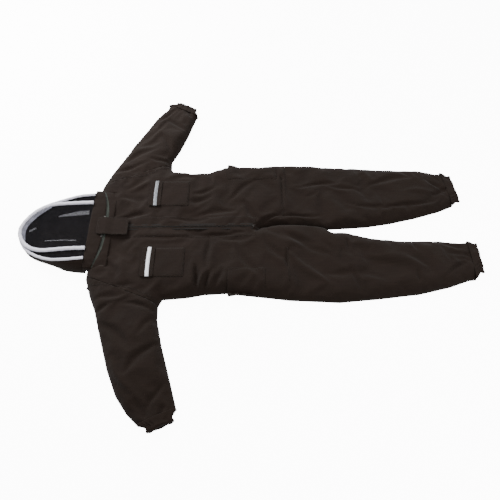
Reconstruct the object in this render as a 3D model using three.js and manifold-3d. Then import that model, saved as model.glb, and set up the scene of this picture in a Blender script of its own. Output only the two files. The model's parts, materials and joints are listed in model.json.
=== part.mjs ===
// A beekeeper's one-piece suit with a zip-on fencing hood, laid out flat on its back.
// Millimetres, +Z up. +X runs from the head to the feet and -Y is the wearer's right.
import * as THREE from "three";
import { mergeVertices } from "three/addons/utils/BufferGeometryUtils.js";
import Module from "manifold-3d";

const wasm = await Module();
wasm.setup();

// Driving dimensions.
const LOFT = 45; // height of the lying body, sleeves and legs
const EDGE_SLOPE = 22; // how far the sides lean in from floor to top
const CLOTH = 2; // wall of every cloth panel
const SLOPE_WALL = CLOTH * 1.5; // the wall's width in plan where it leans
const GAP = 0.3; // clearance between touching pieces
const REACH = 2000; // longer than the suit, for cutting tools

const NECK_X = -570; // where the body meets the collar
const HOOD_X = -655; // where the hood meets its neck band
const NECK_HALF_WIDTH = 192;
const COLLAR_END_X = -592;
const ZIP_JOIN_X = -601; // the line where the hood zip closes
const HOOD_TAPE_X = -610;
const NECK_OVERRUN = 10; // how far the cutter of the neck runs past both ends

const HOOD_LOFT = 58;
const HOOD_SLOPE = 12;
const HOOD_TUCK = 10; // how much narrower the hood is than the neck on each side
const ARCH_SPRING = 0.4; // share of an arch's length that runs straight
const ARCH_FULLNESS = 0.58; // how squarely an arch turns over its crown
const HOOD_CROWN_X = -973;
const FRONT_ARCH_CROWN_X = -938;
const REAR_ARCH_CROWN_X = -955;
const FRONT_ARCH_HALF_WIDTH = 112;
const REAR_ARCH_HALF_WIDTH = 158;
const FRONT_PIPING_RADIUS = 8;
const REAR_PIPING_RADIUS = 5;
const PIPING_STEPS = 36; // facets along a piping
const PIPING_CURVE = 4; // facets round a quarter of a piping
const PIPING_POINTS = 5; // guide points on each curve of an arch
const INNER_TAPE = { from: -816, to: -676, y: 96, width: 16 };
const TAPE = 1.2; // thickness of woven tape

const CUFF_DEPTH = 34;
const CUFF_HEIGHT = 30;
const ELASTIC_DEPTH = 20;
const ELASTIC = 1.5;

const FRONT_ZIP_END_X = 18;
const FRONT_ZIP_HALF_WIDTH = 14;
const CHAIN_HALF_WIDTH = 3;
const CHAIN_STAND = 1.5; // how far the chain stands out of the cloth
const SLIDER_LENGTH = 20;
const SLIDER_WIDTH = 12;
const SLIDER_HEIGHT = 3.4;
const PULL_LENGTH = 32;
const PULL_WIDTH = 7;
const PULL = 1.6;
const ZIP_START = 22; // from the collar to the closed slider
const HOOD_ZIP_START = 5; // from the centre line to each closed hood slider

const CHIN_TAB = { from: -632, crest: -592, foot: -556, to: -498, halfWidth: 42 };
const CHIN_TAB_RISE = 9; // room for the sliders under the tab's crest
const HOOK_PATCH = { from: -544, to: -502, inner: 16, outer: 40 };
const PATCH = 2.5; // thickness of one half of hook and loop

const CHEST_POCKET = { from: -426, to: -258, inner: 104, outer: 238 };
const CHEST_FLAP_LENGTH = 52;
const STRIP = { inset: 17, width: 20 };
const POCKET_ROOM = 5;
const HIP_POCKET_RIGHT = { from: -87, to: 60, inner: 200, outer: 272 };
const HIP_POCKET_LEFT = { from: -97, to: 118, inner: 246, outer: 318 };
const FLAP_OVERHANG = 2;
const STOP = { length: 6, width: 10, height: 2 };

// Half outlines, from the neck round the sleeve and the leg to the crotch.
const RIGHT = {
  side: -1,
  shoulder: [-650, 222],
  underarm: [-352, 345],
  sleeveOver: [[-622, 299], [-593, 362], [-560, 461], [-513, 595], [-470, 688], [-424, 750], [-380, 790]],
  wrist: [[-360, 850], [-220, 792]],
  sleeveUnder: [[-255, 730], [-284, 633], [-324, 506], [-350, 400]],
  outerLeg: [
    [-338, 316], [-246, 309], [-180, 296], [-93, 291], [15, 305], [152, 323], [342, 334], [496, 320],
    [651, 302], [772, 273], [856, 243],
  ],
  ankle: [[960, 232], [960, 66]],
  innerLeg: [[856, 68], [776, 58], [614, 54], [493, 40], [398, 14], [300, 5]],
  wristEnd: { centre: [-301, 795], along: [0.4, 0.916], width: 100 },
  ankleEnd: { centre: [918, 147], along: [1, 0], width: 142 },
};
const LEFT = {
  side: 1,
  shoulder: [-650, 222],
  underarm: [-352, 345],
  sleeveOver: [[-618, 305], [-582, 381], [-538, 479], [-476, 602], [-444, 669], [-404, 722]],
  wrist: [[-370, 800], [-200, 740]],
  sleeveUnder: [[-257, 663], [-290, 546], [-322, 451], [-353, 385]],
  outerLeg: [
    [-340, 322], [-249, 311], [-180, 312], [-112, 342], [-60, 344], [47, 345], [228, 352], [451, 337],
    [629, 326], [760, 318], [815, 300],
  ],
  ankle: [[930, 286], [930, 128]],
  innerLeg: [[872, 122], [797, 90], [690, 57], [586, 32], [483, 15], [350, 7]],
  wristEnd: { centre: [-303, 742], along: [0.47, 0.883], width: 112 },
  ankleEnd: { centre: [890, 206], along: [0.994, 0.11], width: 150 },
};
const CROTCH = [40, 3];

const DARK_CLOTH = 0x2b211a;
const BLACK = 0x0c0b0b;
const WHITE = 0xe8e6ee;
const ZIP_GREY = 0x4a4d44;
const METAL = 0x3a3733;

// Geometry helpers.
function solidOf(geometry) {
  geometry.deleteAttribute("normal");
  geometry.deleteAttribute("uv");
  const merged = mergeVertices(geometry, 1e-4);
  return new wasm.Manifold(new wasm.Mesh({
    numProp: 3,
    vertProperties: new Float32Array(merged.attributes.position.array),
    triVerts: new Uint32Array(merged.index.array),
  }));
}

function geometryOf(solid) {
  const mesh = solid.getMesh();
  const geometry = new THREE.BufferGeometry();
  geometry.setAttribute("position", new THREE.BufferAttribute(new Float32Array(mesh.vertProperties), 3));
  geometry.setIndex(new THREE.BufferAttribute(new Uint32Array(mesh.triVerts), 1));
  return geometry;
}

function block(x, y, z) {
  const geometry = new THREE.BoxGeometry(x[1] - x[0], y[1] - y[0], z[1] - z[0]);
  geometry.translate((x[0] + x[1]) / 2, (y[0] + y[1]) / 2, (z[0] + z[1]) / 2);
  return solidOf(geometry);
}

function plate(shape, bottom, top) {
  const geometry = new THREE.ExtrudeGeometry(shape, {
    depth: top - bottom, bevelEnabled: false, curveSegments: 10,
  });
  geometry.translate(0, 0, bottom);
  return solidOf(geometry);
}

// A flat-topped form whose sides lean in by slope, kept above the floor.
function pillow(shape, top, slope, inset) {
  const foot = 1;
  const geometry = new THREE.ExtrudeGeometry(shape, {
    depth: foot,
    bevelEnabled: true,
    bevelThickness: top - foot,
    bevelSize: slope,
    bevelOffset: -slope - inset,
    bevelSegments: 1,
    curveSegments: 10,
  });
  return solidOf(geometry).subtract(block([-REACH, REACH], [-REACH, REACH], [-REACH, 0]));
}

// An outline drawn in the plane across a direction, swept along that direction.
function sweep(shape, across, up, start, depth) {
  const along = new THREE.Vector3().crossVectors(across, up);
  const geometry = new THREE.ExtrudeGeometry(shape, { depth, bevelEnabled: false, curveSegments: 3 });
  geometry.applyMatrix4(new THREE.Matrix4().makeBasis(across, up, along).setPosition(start));
  return solidOf(geometry);
}

function polygon(points) {
  return new THREE.Shape(points.map(([x, y]) => new THREE.Vector2(x, y)));
}

const X_AXIS = new THREE.Vector3(1, 0, 0);
const Z_AXIS = new THREE.Vector3(0, 0, 1);

// A side profile in X and Z, made as wide as the two limits in Y.
function profileAcross(points, y) {
  return sweep(polygon(points), X_AXIS, Z_AXIS, new THREE.Vector3(0, y[1], 0), y[1] - y[0]);
}

const suit = new THREE.Group();

function addPiece(name, solid, color, roughness = 0.9, metalness = 0) {
  const material = new THREE.MeshStandardMaterial({ color, roughness, metalness });
  const mesh = new THREE.Mesh(geometryOf(solid), material);
  mesh.name = name;
  suit.add(mesh);
}

function sided(half, points) {
  return points.map(([x, y]) => [x, half.side * y]);
}

function nameOf(half) {
  return half.side < 0 ? "right" : "left";
}

// The whole lying garment, of which each panel is a cut.
function halfOutline(half) {
  return sided(half, [
    [half.shoulder[0], NECK_HALF_WIDTH / 2],
    half.shoulder,
    ...half.sleeveOver,
    ...half.wrist,
    ...half.sleeveUnder,
    half.underarm,
    ...half.outerLeg,
    ...half.ankle,
    ...half.innerLeg,
    CROTCH,
  ]);
}

const bodyShape = polygon([...halfOutline(RIGHT), ...halfOutline(LEFT).reverse()]);
const neckCut = block(
  [-REACH, NECK_X], [-NECK_HALF_WIDTH - GAP, NECK_HALF_WIDTH + GAP], [-1, LOFT + 1],
);
const topCloth = pillow(bodyShape, LOFT, EDGE_SLOPE, 0)
  .subtract(pillow(bodyShape, LOFT - CLOTH, EDGE_SLOPE, SLOPE_WALL))
  .subtract(block([-REACH, REACH], [-REACH, REACH], [-1, CLOTH + GAP]))
  .subtract(neckCut);
const bottomCloth = plate(bodyShape, 0, CLOTH).subtract(neckCut);

// Everything on the outer side of a line in plan, as a tall wedge.
function beyondLine(from, to, side) {
  const along = new THREE.Vector2(to[0] - from[0], to[1] - from[1]).normalize();
  const out = new THREE.Vector2(along.y, -along.x).multiplyScalar(side * REACH);
  const start = new THREE.Vector2(...from).addScaledVector(along, -REACH);
  const end = new THREE.Vector2(...to).addScaledVector(along, REACH);
  const corners = [start, end, end.clone().add(out), start.clone().add(out)];
  return plate(new THREE.Shape(corners), -1, LOFT + 1);
}

// The end of a sleeve or leg, past the seam where its cuff starts.
function beyondCuff(half, end) {
  const [[x, y]] = sided(half, [end.centre]);
  const [[u, v]] = sided(half, [end.along]);
  const seam = [x - u * (CUFF_DEPTH + GAP), y - v * (CUFF_DEPTH + GAP)];
  return beyondLine(seam, [seam[0] - v, seam[1] + u], 1);
}

function armholeLine(half, shift) {
  const [from, to] = sided(half, [half.shoulder, half.underarm]);
  const along = new THREE.Vector2(to[0] - from[0], to[1] - from[1]).normalize();
  const out = [half.side * -along.y * shift, half.side * along.x * shift];
  return [[from[0] + out[0], from[1] + out[1]], [to[0] + out[0], to[1] + out[1]]];
}

// Where sleeves end and the body begins, the sleeve side of the armhole.
function sleeveSide(half, shift) {
  const [from, to] = armholeLine(half, shift);
  const wedge = beyondLine(from, to, -half.side);
  const farFromLegs = block(
    [-REACH, half.underarm[0]],
    half.side < 0 ? [-REACH, 0] : [0, REACH],
    [-1, LOFT + 1],
  );
  const past = block(
    [half.underarm[0] - 1, 0],
    half.side < 0 ? [-REACH, -half.underarm[1]] : [half.underarm[1], REACH],
    [-1, LOFT + 1],
  );
  return wedge.intersect(farFromLegs.add(past));
}

function halfSpace(half) {
  const y = half.side < 0 ? [-REACH, -GAP / 2] : [GAP / 2, REACH];
  return block([-REACH, REACH], y, [-1, LOFT + 1]);
}

const zipSlot = block(
  [-REACH, FRONT_ZIP_END_X], [-FRONT_ZIP_HALF_WIDTH, FRONT_ZIP_HALF_WIDTH], [LOFT / 2, LOFT + 1],
);

function addPanels(half) {
  const sleeve = sleeveSide(half, GAP);
  const body = halfSpace(half).subtract(sleeveSide(half, 0)).subtract(beyondCuff(half, half.ankleEnd));
  const arm = sleeve.intersect(halfSpace(half)).subtract(beyondCuff(half, half.wristEnd));
  addPiece(`front_panel_${nameOf(half)}`, topCloth.intersect(body).subtract(zipSlot), DARK_CLOTH);
  addPiece(`back_panel_${nameOf(half)}`, bottomCloth.intersect(body), DARK_CLOTH);
  addPiece(`sleeve_front_${nameOf(half)}`, topCloth.intersect(arm), DARK_CLOTH);
  addPiece(`sleeve_back_${nameOf(half)}`, bottomCloth.intersect(arm), DARK_CLOTH);
}

// A flattened oval, drawn across a cuff with its lowest point on the floor line.
function oval(width, height, floor) {
  const radius = height / 2;
  const reach = width / 2 - radius;
  const shape = new THREE.Shape();
  shape.moveTo(-reach, floor);
  shape.lineTo(reach, floor);
  shape.absarc(reach, floor + radius, radius, -Math.PI / 2, Math.PI / 2, false);
  shape.lineTo(-reach, floor + height);
  shape.absarc(-reach, floor + radius, radius, Math.PI / 2, Math.PI * 1.5, false);
  return shape;
}

function ovalRing(width, height, wall, floor) {
  const shape = oval(width, height, floor);
  shape.holes.push(oval(width - 2 * wall, height - 2 * wall, floor + wall));
  return shape;
}

function addCuff(half, limb, end) {
  const [[x, y]] = sided(half, [end.centre]);
  const [[u, v]] = sided(half, [end.along]);
  const across = new THREE.Vector3(-v, u, 0);
  const inset = CLOTH + GAP;
  const cuffStart = new THREE.Vector3(x - u * CUFF_DEPTH, y - v * CUFF_DEPTH, 0);
  const bandRun = (CUFF_DEPTH + ELASTIC_DEPTH) / 2;
  const bandStart = new THREE.Vector3(x - u * bandRun, y - v * bandRun, 0);
  const cuff = ovalRing(end.width, CUFF_HEIGHT, CLOTH, 0);
  const band = ovalRing(end.width - 2 * inset, CUFF_HEIGHT - 2 * inset, ELASTIC, inset);
  addPiece(`${limb}_cuff_${nameOf(half)}`, sweep(cuff, across, Z_AXIS, cuffStart, CUFF_DEPTH), DARK_CLOTH);
  addPiece(`${limb}_elastic_${nameOf(half)}`, sweep(band, across, Z_AXIS, bandStart, ELASTIC_DEPTH), WHITE);
}

// The neck: collar, the two zip tapes and the hood's band, cut from one sloping tunnel.
function neckTopAt(x) {
  return HOOD_LOFT + (LOFT - HOOD_LOFT) * (x - HOOD_X) / (NECK_X - HOOD_X);
}

function neckTunnel() {
  const outer = profileAcross(
    [[HOOD_X, 0], [NECK_X, 0], [NECK_X, LOFT], [HOOD_X, HOOD_LOFT]],
    [-NECK_HALF_WIDTH, NECK_HALF_WIDTH],
  );
  const [low, high] = [HOOD_X - NECK_OVERRUN, NECK_X + NECK_OVERRUN];
  const inner = profileAcross(
    [[low, CLOTH], [high, CLOTH], [high, neckTopAt(high) - CLOTH], [low, neckTopAt(low) - CLOTH]],
    [CLOTH - NECK_HALF_WIDTH, NECK_HALF_WIDTH - CLOTH],
  );
  return outer.subtract(inner);
}

function addNeck() {
  const tunnel = neckTunnel();
  const rings = [
    ["hood_neck_band", HOOD_X, HOOD_TAPE_X, DARK_CLOTH],
    ["hood_zip_tape_upper", HOOD_TAPE_X, ZIP_JOIN_X, ZIP_GREY],
    ["hood_zip_tape_lower", ZIP_JOIN_X, COLLAR_END_X, ZIP_GREY],
    ["collar", COLLAR_END_X, NECK_X, DARK_CLOTH],
  ];
  for (const [name, from, to, color] of rings) {
    const slice = block([from + GAP / 2, to - GAP / 2], [-REACH, REACH], [-1, HOOD_LOFT + 1]);
    addPiece(name, tunnel.intersect(slice), color);
  }
}

// An arch in plan: straight sides from the neck, then one smooth curve over the crown.
function archShape(crownX, halfWidth, neckHalfWidth) {
  const springX = HOOD_X - (HOOD_X - crownX) * ARCH_SPRING;
  const shape = new THREE.Shape();
  const shoulder = [springX + (crownX - springX) * ARCH_FULLNESS, halfWidth];
  const crown = [crownX, halfWidth * ARCH_FULLNESS];
  shape.moveTo(HOOD_X + EDGE_SLOPE, -neckHalfWidth);
  shape.lineTo(springX, -halfWidth);
  shape.bezierCurveTo(shoulder[0], -shoulder[1], crown[0], -crown[1], crownX, 0);
  shape.bezierCurveTo(crown[0], crown[1], shoulder[0], shoulder[1], springX, halfWidth);
  shape.lineTo(HOOD_X + EDGE_SLOPE, neckHalfWidth);
  return shape;
}

function pipingAlong(shape, radius, z) {
  const points = shape.getPoints(PIPING_POINTS)
    .map((point) => new THREE.Vector3(Math.min(point.x, HOOD_X), point.y, z));
  const path = new THREE.CatmullRomCurve3(points, false, "centripetal");
  const section = new THREE.Shape();
  section.absarc(0, 0, radius, 0, Math.PI * 2, false);
  const geometry = new THREE.ExtrudeGeometry(section, {
    steps: PIPING_STEPS, bevelEnabled: false, curveSegments: PIPING_CURVE, extrudePath: path,
  });
  return solidOf(geometry);
}

function addHood() {
  const outline = archShape(HOOD_CROWN_X, NECK_HALF_WIDTH - HOOD_TUCK, NECK_HALF_WIDTH);
  const rearArch = archShape(REAR_ARCH_CROWN_X, REAR_ARCH_HALF_WIDTH, REAR_ARCH_HALF_WIDTH);
  const frontArch = archShape(FRONT_ARCH_CROWN_X, FRONT_ARCH_HALF_WIDTH, FRONT_ARCH_HALF_WIDTH);
  const neckSide = block([HOOD_X - GAP / 2, REACH], [-REACH, REACH], [-1, HOOD_LOFT + 1]);
  const inside = pillow(outline, HOOD_LOFT - CLOTH, HOOD_SLOPE, SLOPE_WALL)
    .subtract(block([-REACH, REACH], [-REACH, REACH], [-1, CLOTH]));
  const shell = pillow(outline, HOOD_LOFT, HOOD_SLOPE, 0)
    .subtract(inside)
    .subtract(plate(rearArch, HOOD_LOFT / 2, HOOD_LOFT + 1))
    .subtract(neckSide);
  addPiece("hood_fabric", shell, DARK_CLOTH);

  const meshBottom = HOOD_LOFT - CLOTH;
  const rearHalf = REAR_ARCH_HALF_WIDTH - GAP;
  const rearRim = plate(archShape(REAR_ARCH_CROWN_X + GAP, rearHalf, rearHalf), meshBottom, HOOD_LOFT)
    .subtract(neckSide);
  const sideVeils = rearRim.subtract(plate(frontArch, meshBottom - 1, HOOD_LOFT + 1));
  for (const half of [RIGHT, LEFT]) {
    const y = half.side < 0 ? [-REACH, -GAP / 2] : [GAP / 2, REACH];
    const halfOnly = block([-REACH, REACH], y, [-1, HOOD_LOFT + 1]);
    addPiece(`side_veil_${nameOf(half)}`, sideVeils.intersect(halfOnly), BLACK);
  }
  const frontHalf = FRONT_ARCH_HALF_WIDTH - GAP;
  const windowShape = archShape(FRONT_ARCH_CROWN_X + GAP, frontHalf, frontHalf);
  addPiece("veil_window", plate(windowShape, meshBottom, HOOD_LOFT).subtract(neckSide), BLACK);

  const onTop = HOOD_LOFT + GAP;
  const pipes = [
    ["front_hoop_piping", frontArch, FRONT_PIPING_RADIUS],
    ["rear_hoop_piping", rearArch, REAR_PIPING_RADIUS],
  ];
  for (const [name, arch, radius] of pipes) {
    const endCut = block([HOOD_X - GAP, REACH], [-REACH, REACH], [0, REACH]);
    addPiece(name, pipingAlong(arch, radius, onTop + radius).subtract(endCut), WHITE);
  }
  addPiece("hood_inner_tape", block(
    [INNER_TAPE.from, INNER_TAPE.to],
    [INNER_TAPE.y - INNER_TAPE.width / 2, INNER_TAPE.y + INNER_TAPE.width / 2],
    [CLOTH + GAP, CLOTH + GAP + TAPE],
  ), WHITE);
}

// The front zip: two tapes let into the front, two chains that meet and the stop below.
const chainTop = LOFT + CHAIN_STAND;

function addFrontZip() {
  const run = [NECK_X + GAP, FRONT_ZIP_END_X - STOP.length - 2 * GAP];
  for (const half of [RIGHT, LEFT]) {
    const tapeY = [CHAIN_HALF_WIDTH + GAP, FRONT_ZIP_HALF_WIDTH - GAP];
    const chainY = [GAP / 2, CHAIN_HALF_WIDTH];
    const order = ([inner, outer]) => (half.side < 0 ? [-outer, -inner] : [inner, outer]);
    const tape = block(run, order(tapeY), [LOFT - CLOTH, LOFT - CLOTH + TAPE]);
    const chain = block(run, order(chainY), [LOFT - CLOTH, chainTop]);
    addPiece(`front_zip_tape_${nameOf(half)}`, tape, BLACK);
    addPiece(`front_zip_chain_${nameOf(half)}`, chain, BLACK, 0.5);
  }
  addPiece("front_zip_stop", block(
    [FRONT_ZIP_END_X - STOP.length - GAP, FRONT_ZIP_END_X - GAP],
    [-STOP.width / 2, STOP.width / 2],
    [LOFT - CLOTH, LOFT - CLOTH + STOP.height],
  ), METAL, 0.4, 0.8);
  const start = NECK_X + ZIP_START;
  const base = chainTop + GAP;
  const body = block([start - SLIDER_LENGTH, start], [-SLIDER_WIDTH / 2, SLIDER_WIDTH / 2],
    [base, base + SLIDER_HEIGHT]);
  const pull = block([start + GAP, start + PULL_LENGTH], [-PULL_WIDTH / 2, PULL_WIDTH / 2],
    [base + GAP, base + GAP + PULL]);
  addPiece("front_zip_slider", body, METAL, 0.4, 0.8);
  addPiece("front_zip_pull", pull, METAL, 0.4, 0.8);
}

// A slider of the hood zip, lying on the sloping join with its pull pointing outwards.
function addHoodZipSliders() {
  const slope = Math.atan2(HOOD_LOFT - LOFT, NECK_X - HOOD_X);
  for (const half of [RIGHT, LEFT]) {
    const y = (inner, outer) => (half.side < 0 ? [-outer, -inner] : [inner, outer]);
    const place = (geometry) => {
      geometry.rotateY(slope);
      geometry.translate(ZIP_JOIN_X, 0, neckTopAt(ZIP_JOIN_X));
      return solidOf(geometry);
    };
    const piece = (length, span, z) => {
      const geometry = new THREE.BoxGeometry(length, span[1] - span[0], z[1] - z[0]);
      geometry.translate(0, (span[0] + span[1]) / 2, (z[0] + z[1]) / 2);
      return place(geometry);
    };
    const sliderEnd = HOOD_ZIP_START + SLIDER_LENGTH;
    const slider = piece(SLIDER_WIDTH, y(HOOD_ZIP_START, sliderEnd), [GAP, GAP + SLIDER_HEIGHT]);
    const pullSpan = y(sliderEnd + GAP, SLIDER_LENGTH + PULL_LENGTH);
    const pull = piece(PULL_WIDTH, pullSpan, [2 * GAP, 2 * GAP + PULL]);
    addPiece(`hood_zip_slider_${nameOf(half)}`, slider, METAL, 0.4, 0.8);
    addPiece(`hood_zip_pull_${nameOf(half)}`, pull, METAL, 0.4, 0.8);
  }
}

// The tab that closes over the three zip ends: sewn along its right edge, held at its left one.
function addChinTab() {
  const loopBase = LOFT + GAP;
  const hookBase = loopBase + PATCH + GAP;
  const footZ = hookBase + PATCH + GAP;
  const under = [
    [CHIN_TAB.from, neckTopAt(CHIN_TAB.from) + GAP],
    [CHIN_TAB.crest, neckTopAt(CHIN_TAB.crest) + CHIN_TAB_RISE],
    [CHIN_TAB.foot, footZ],
    [CHIN_TAB.to, footZ],
  ];
  const over = under.map(([x, z]) => [x, z + CLOTH]).reverse();
  const tab = profileAcross([...under, ...over], [-CHIN_TAB.halfWidth, CHIN_TAB.halfWidth]);
  const patchX = [HOOK_PATCH.from, HOOK_PATCH.to];
  const patchY = [HOOK_PATCH.inner, HOOK_PATCH.outer];
  addPiece("chin_tab", tab, DARK_CLOTH);
  addPiece("loop_patch", block(patchX, patchY, [loopBase, loopBase + PATCH]), BLACK);
  addPiece("hook_patch", block(patchX, patchY, [hookBase, hookBase + PATCH]), BLACK);
}

// A patch pocket: a shallow tray face down on the cloth, open towards the head.
function patchPocket(half, pocket) {
  const y = half.side < 0 ? [-pocket.outer, -pocket.inner] : [pocket.inner, pocket.outer];
  const base = LOFT + GAP;
  const outer = block([pocket.from, pocket.to], y, [base, base + POCKET_ROOM + CLOTH]);
  const room = block(
    [pocket.from - 1, pocket.to - CLOTH], [y[0] + CLOTH, y[1] - CLOTH], [base - 1, base + POCKET_ROOM],
  );
  return outer.subtract(room);
}

function addPockets(half, hip) {
  const name = nameOf(half);
  addPiece(`chest_pocket_${name}`, patchPocket(half, CHEST_POCKET), DARK_CLOTH);
  addPiece(`hip_pocket_${name}`, patchPocket(half, hip), DARK_CLOTH);
  const { inner, outer } = CHEST_POCKET;
  const y = half.side < 0 ? [-outer, -inner] : [inner, outer];
  const flapX = [CHEST_POCKET.from - FLAP_OVERHANG, CHEST_POCKET.from - FLAP_OVERHANG + CHEST_FLAP_LENGTH];
  const flapZ = LOFT + POCKET_ROOM + CLOTH + 2 * GAP;
  const stripZ = flapZ + CLOTH + GAP;
  addPiece(`chest_flap_${name}`, block(flapX, y, [flapZ, flapZ + CLOTH]), DARK_CLOTH);
  addPiece(`reflective_strip_${name}`, block(
    [flapX[0] + STRIP.inset, flapX[0] + STRIP.inset + STRIP.width], y, [stripZ, stripZ + TAPE],
  ), WHITE, 0.4);
}

for (const half of [RIGHT, LEFT]) {
  addPanels(half);
  addCuff(half, "wrist", half.wristEnd);
  addCuff(half, "ankle", half.ankleEnd);
}
addNeck();
addHood();
addFrontZip();
addHoodZipSliders();
addChinTab();
addPockets(RIGHT, HIP_POCKET_RIGHT);
addPockets(LEFT, HIP_POCKET_LEFT);

// The origin is on the floor, under the middle of the suit's box.
const box = new THREE.Box3().setFromObject(suit);
const centre = box.getCenter(new THREE.Vector3());
suit.position.set(-centre.x, -centre.y, -box.min.z);
suit.updateMatrixWorld(true);

export default suit;
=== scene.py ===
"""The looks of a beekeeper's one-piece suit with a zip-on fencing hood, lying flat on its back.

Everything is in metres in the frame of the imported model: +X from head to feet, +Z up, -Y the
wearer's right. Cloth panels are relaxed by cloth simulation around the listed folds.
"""

import functools
import json
import logging
import math
from dataclasses import dataclass, field
from enum import Enum
from typing import Callable, Iterable, Sequence

import bmesh
import bpy
import numpy as np
from mathutils import Matrix, Vector
from mathutils.bvhtree import BVHTree


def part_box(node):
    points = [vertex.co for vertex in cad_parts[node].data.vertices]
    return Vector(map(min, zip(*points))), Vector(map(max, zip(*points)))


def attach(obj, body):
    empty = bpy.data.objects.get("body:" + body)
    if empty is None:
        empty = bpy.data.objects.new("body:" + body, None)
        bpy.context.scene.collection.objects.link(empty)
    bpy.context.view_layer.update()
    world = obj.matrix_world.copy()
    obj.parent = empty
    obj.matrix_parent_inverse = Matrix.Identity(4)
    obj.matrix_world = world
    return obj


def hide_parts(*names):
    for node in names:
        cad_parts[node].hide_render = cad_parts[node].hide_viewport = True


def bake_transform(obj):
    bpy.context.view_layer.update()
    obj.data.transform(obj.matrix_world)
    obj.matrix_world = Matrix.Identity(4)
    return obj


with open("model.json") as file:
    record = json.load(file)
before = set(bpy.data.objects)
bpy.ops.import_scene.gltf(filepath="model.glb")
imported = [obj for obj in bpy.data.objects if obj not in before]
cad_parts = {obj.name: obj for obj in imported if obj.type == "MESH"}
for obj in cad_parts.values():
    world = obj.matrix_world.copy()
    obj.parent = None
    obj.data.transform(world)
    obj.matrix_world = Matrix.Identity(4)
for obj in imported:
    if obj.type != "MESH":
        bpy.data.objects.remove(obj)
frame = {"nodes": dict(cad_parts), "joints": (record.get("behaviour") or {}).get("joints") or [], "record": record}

logging.basicConfig(level=logging.INFO, format="%(relativeCreated)d %(name)s: %(message)s")
log = logging.getLogger("suit")

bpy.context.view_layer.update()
MM = 0.001
WELD = 0.01 * MM
UP = Vector((0, 0, 1))
Point = tuple[float, float]


class Side(Enum):
    """The wearer's side; the value is the sign of Y."""

    RIGHT = -1
    LEFT = 1

    @property
    def word(self) -> str:
        """The side's name, as the nodes spell it."""
        return self.name.lower()


# ---------------------------------------------------------------- places


class Lay:
    """Where the suit's own zero lies in the frame.

    The suit's zero is on the centre line, 570 mm below the neck seam.
    """

    neck_to_zero: float = 570 * MM

    @functools.cached_property
    def zero(self) -> Vector:
        """The suit's zero point in the frame."""
        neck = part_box("collar")[1][0]
        middle = sum(corner[1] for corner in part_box("front_zip_stop")) / 2
        return Vector((neck + self.neck_to_zero, middle, 0))

    def at(self, x: float, y: float, z: float = 0.0) -> Vector:
        """A point given in millimetres from the suit's zero.

        Args:
            x, y, z: millimetres towards the feet, the wearer's left, and up.

        Returns:
            The point in the frame, in metres.
        """
        return self.zero + Vector((x, y, z)) * MM


LAY = Lay()


# ---------------------------------------------------------------- small sums


def clamped(value: float) -> float:
    """The value, kept between 0 and 1."""
    return min(max(value, 0), 1)


def eased(share: float) -> float:
    """A share of the way that starts and ends slowly; arrays work too."""
    return share * share * (3 - 2 * share)


def signed_power(value: float, power: float) -> float:
    """The power of a value's size, with the value's own sign."""
    return math.copysign(abs(value) ** power, value)


# ---------------------------------------------------------------- shader tools


class Num:
    """A shader socket that takes part in Python sums."""

    def __init__(self, shader: "Shader", socket: bpy.types.NodeSocket) -> None:
        """Wraps a socket of a shader."""
        self.shader = shader
        self.socket = socket

    def _math(self, operation: str, *values: "Num | float") -> "Num":
        """Adds one Math node and returns its result."""
        node = self.shader.node("ShaderNodeMath", {"operation": operation}, dict(enumerate(values)))
        return Num(self.shader, node.outputs[0])

    def __add__(self, other: "Num | float") -> "Num":
        """self + other."""
        return self._math("ADD", self, other)

    def __sub__(self, other: "Num | float") -> "Num":
        """self - other."""
        return self._math("SUBTRACT", self, other)

    def __mul__(self, other: "Num | float") -> "Num":
        """self * other."""
        return self._math("MULTIPLY", self, other)

    __radd__ = __add__
    __rmul__ = __mul__

    def sine(self) -> "Num":
        """The sine of this value."""
        return self._math("SINE", self)

    def above(self, limit: float) -> "Num":
        """One where this value is over the limit, and nought elsewhere."""
        return self._math("GREATER_THAN", self, limit)

    def most(self, other: "Num | float") -> "Num":
        """The larger of two values."""
        return self._math("MAXIMUM", self, other)


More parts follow.
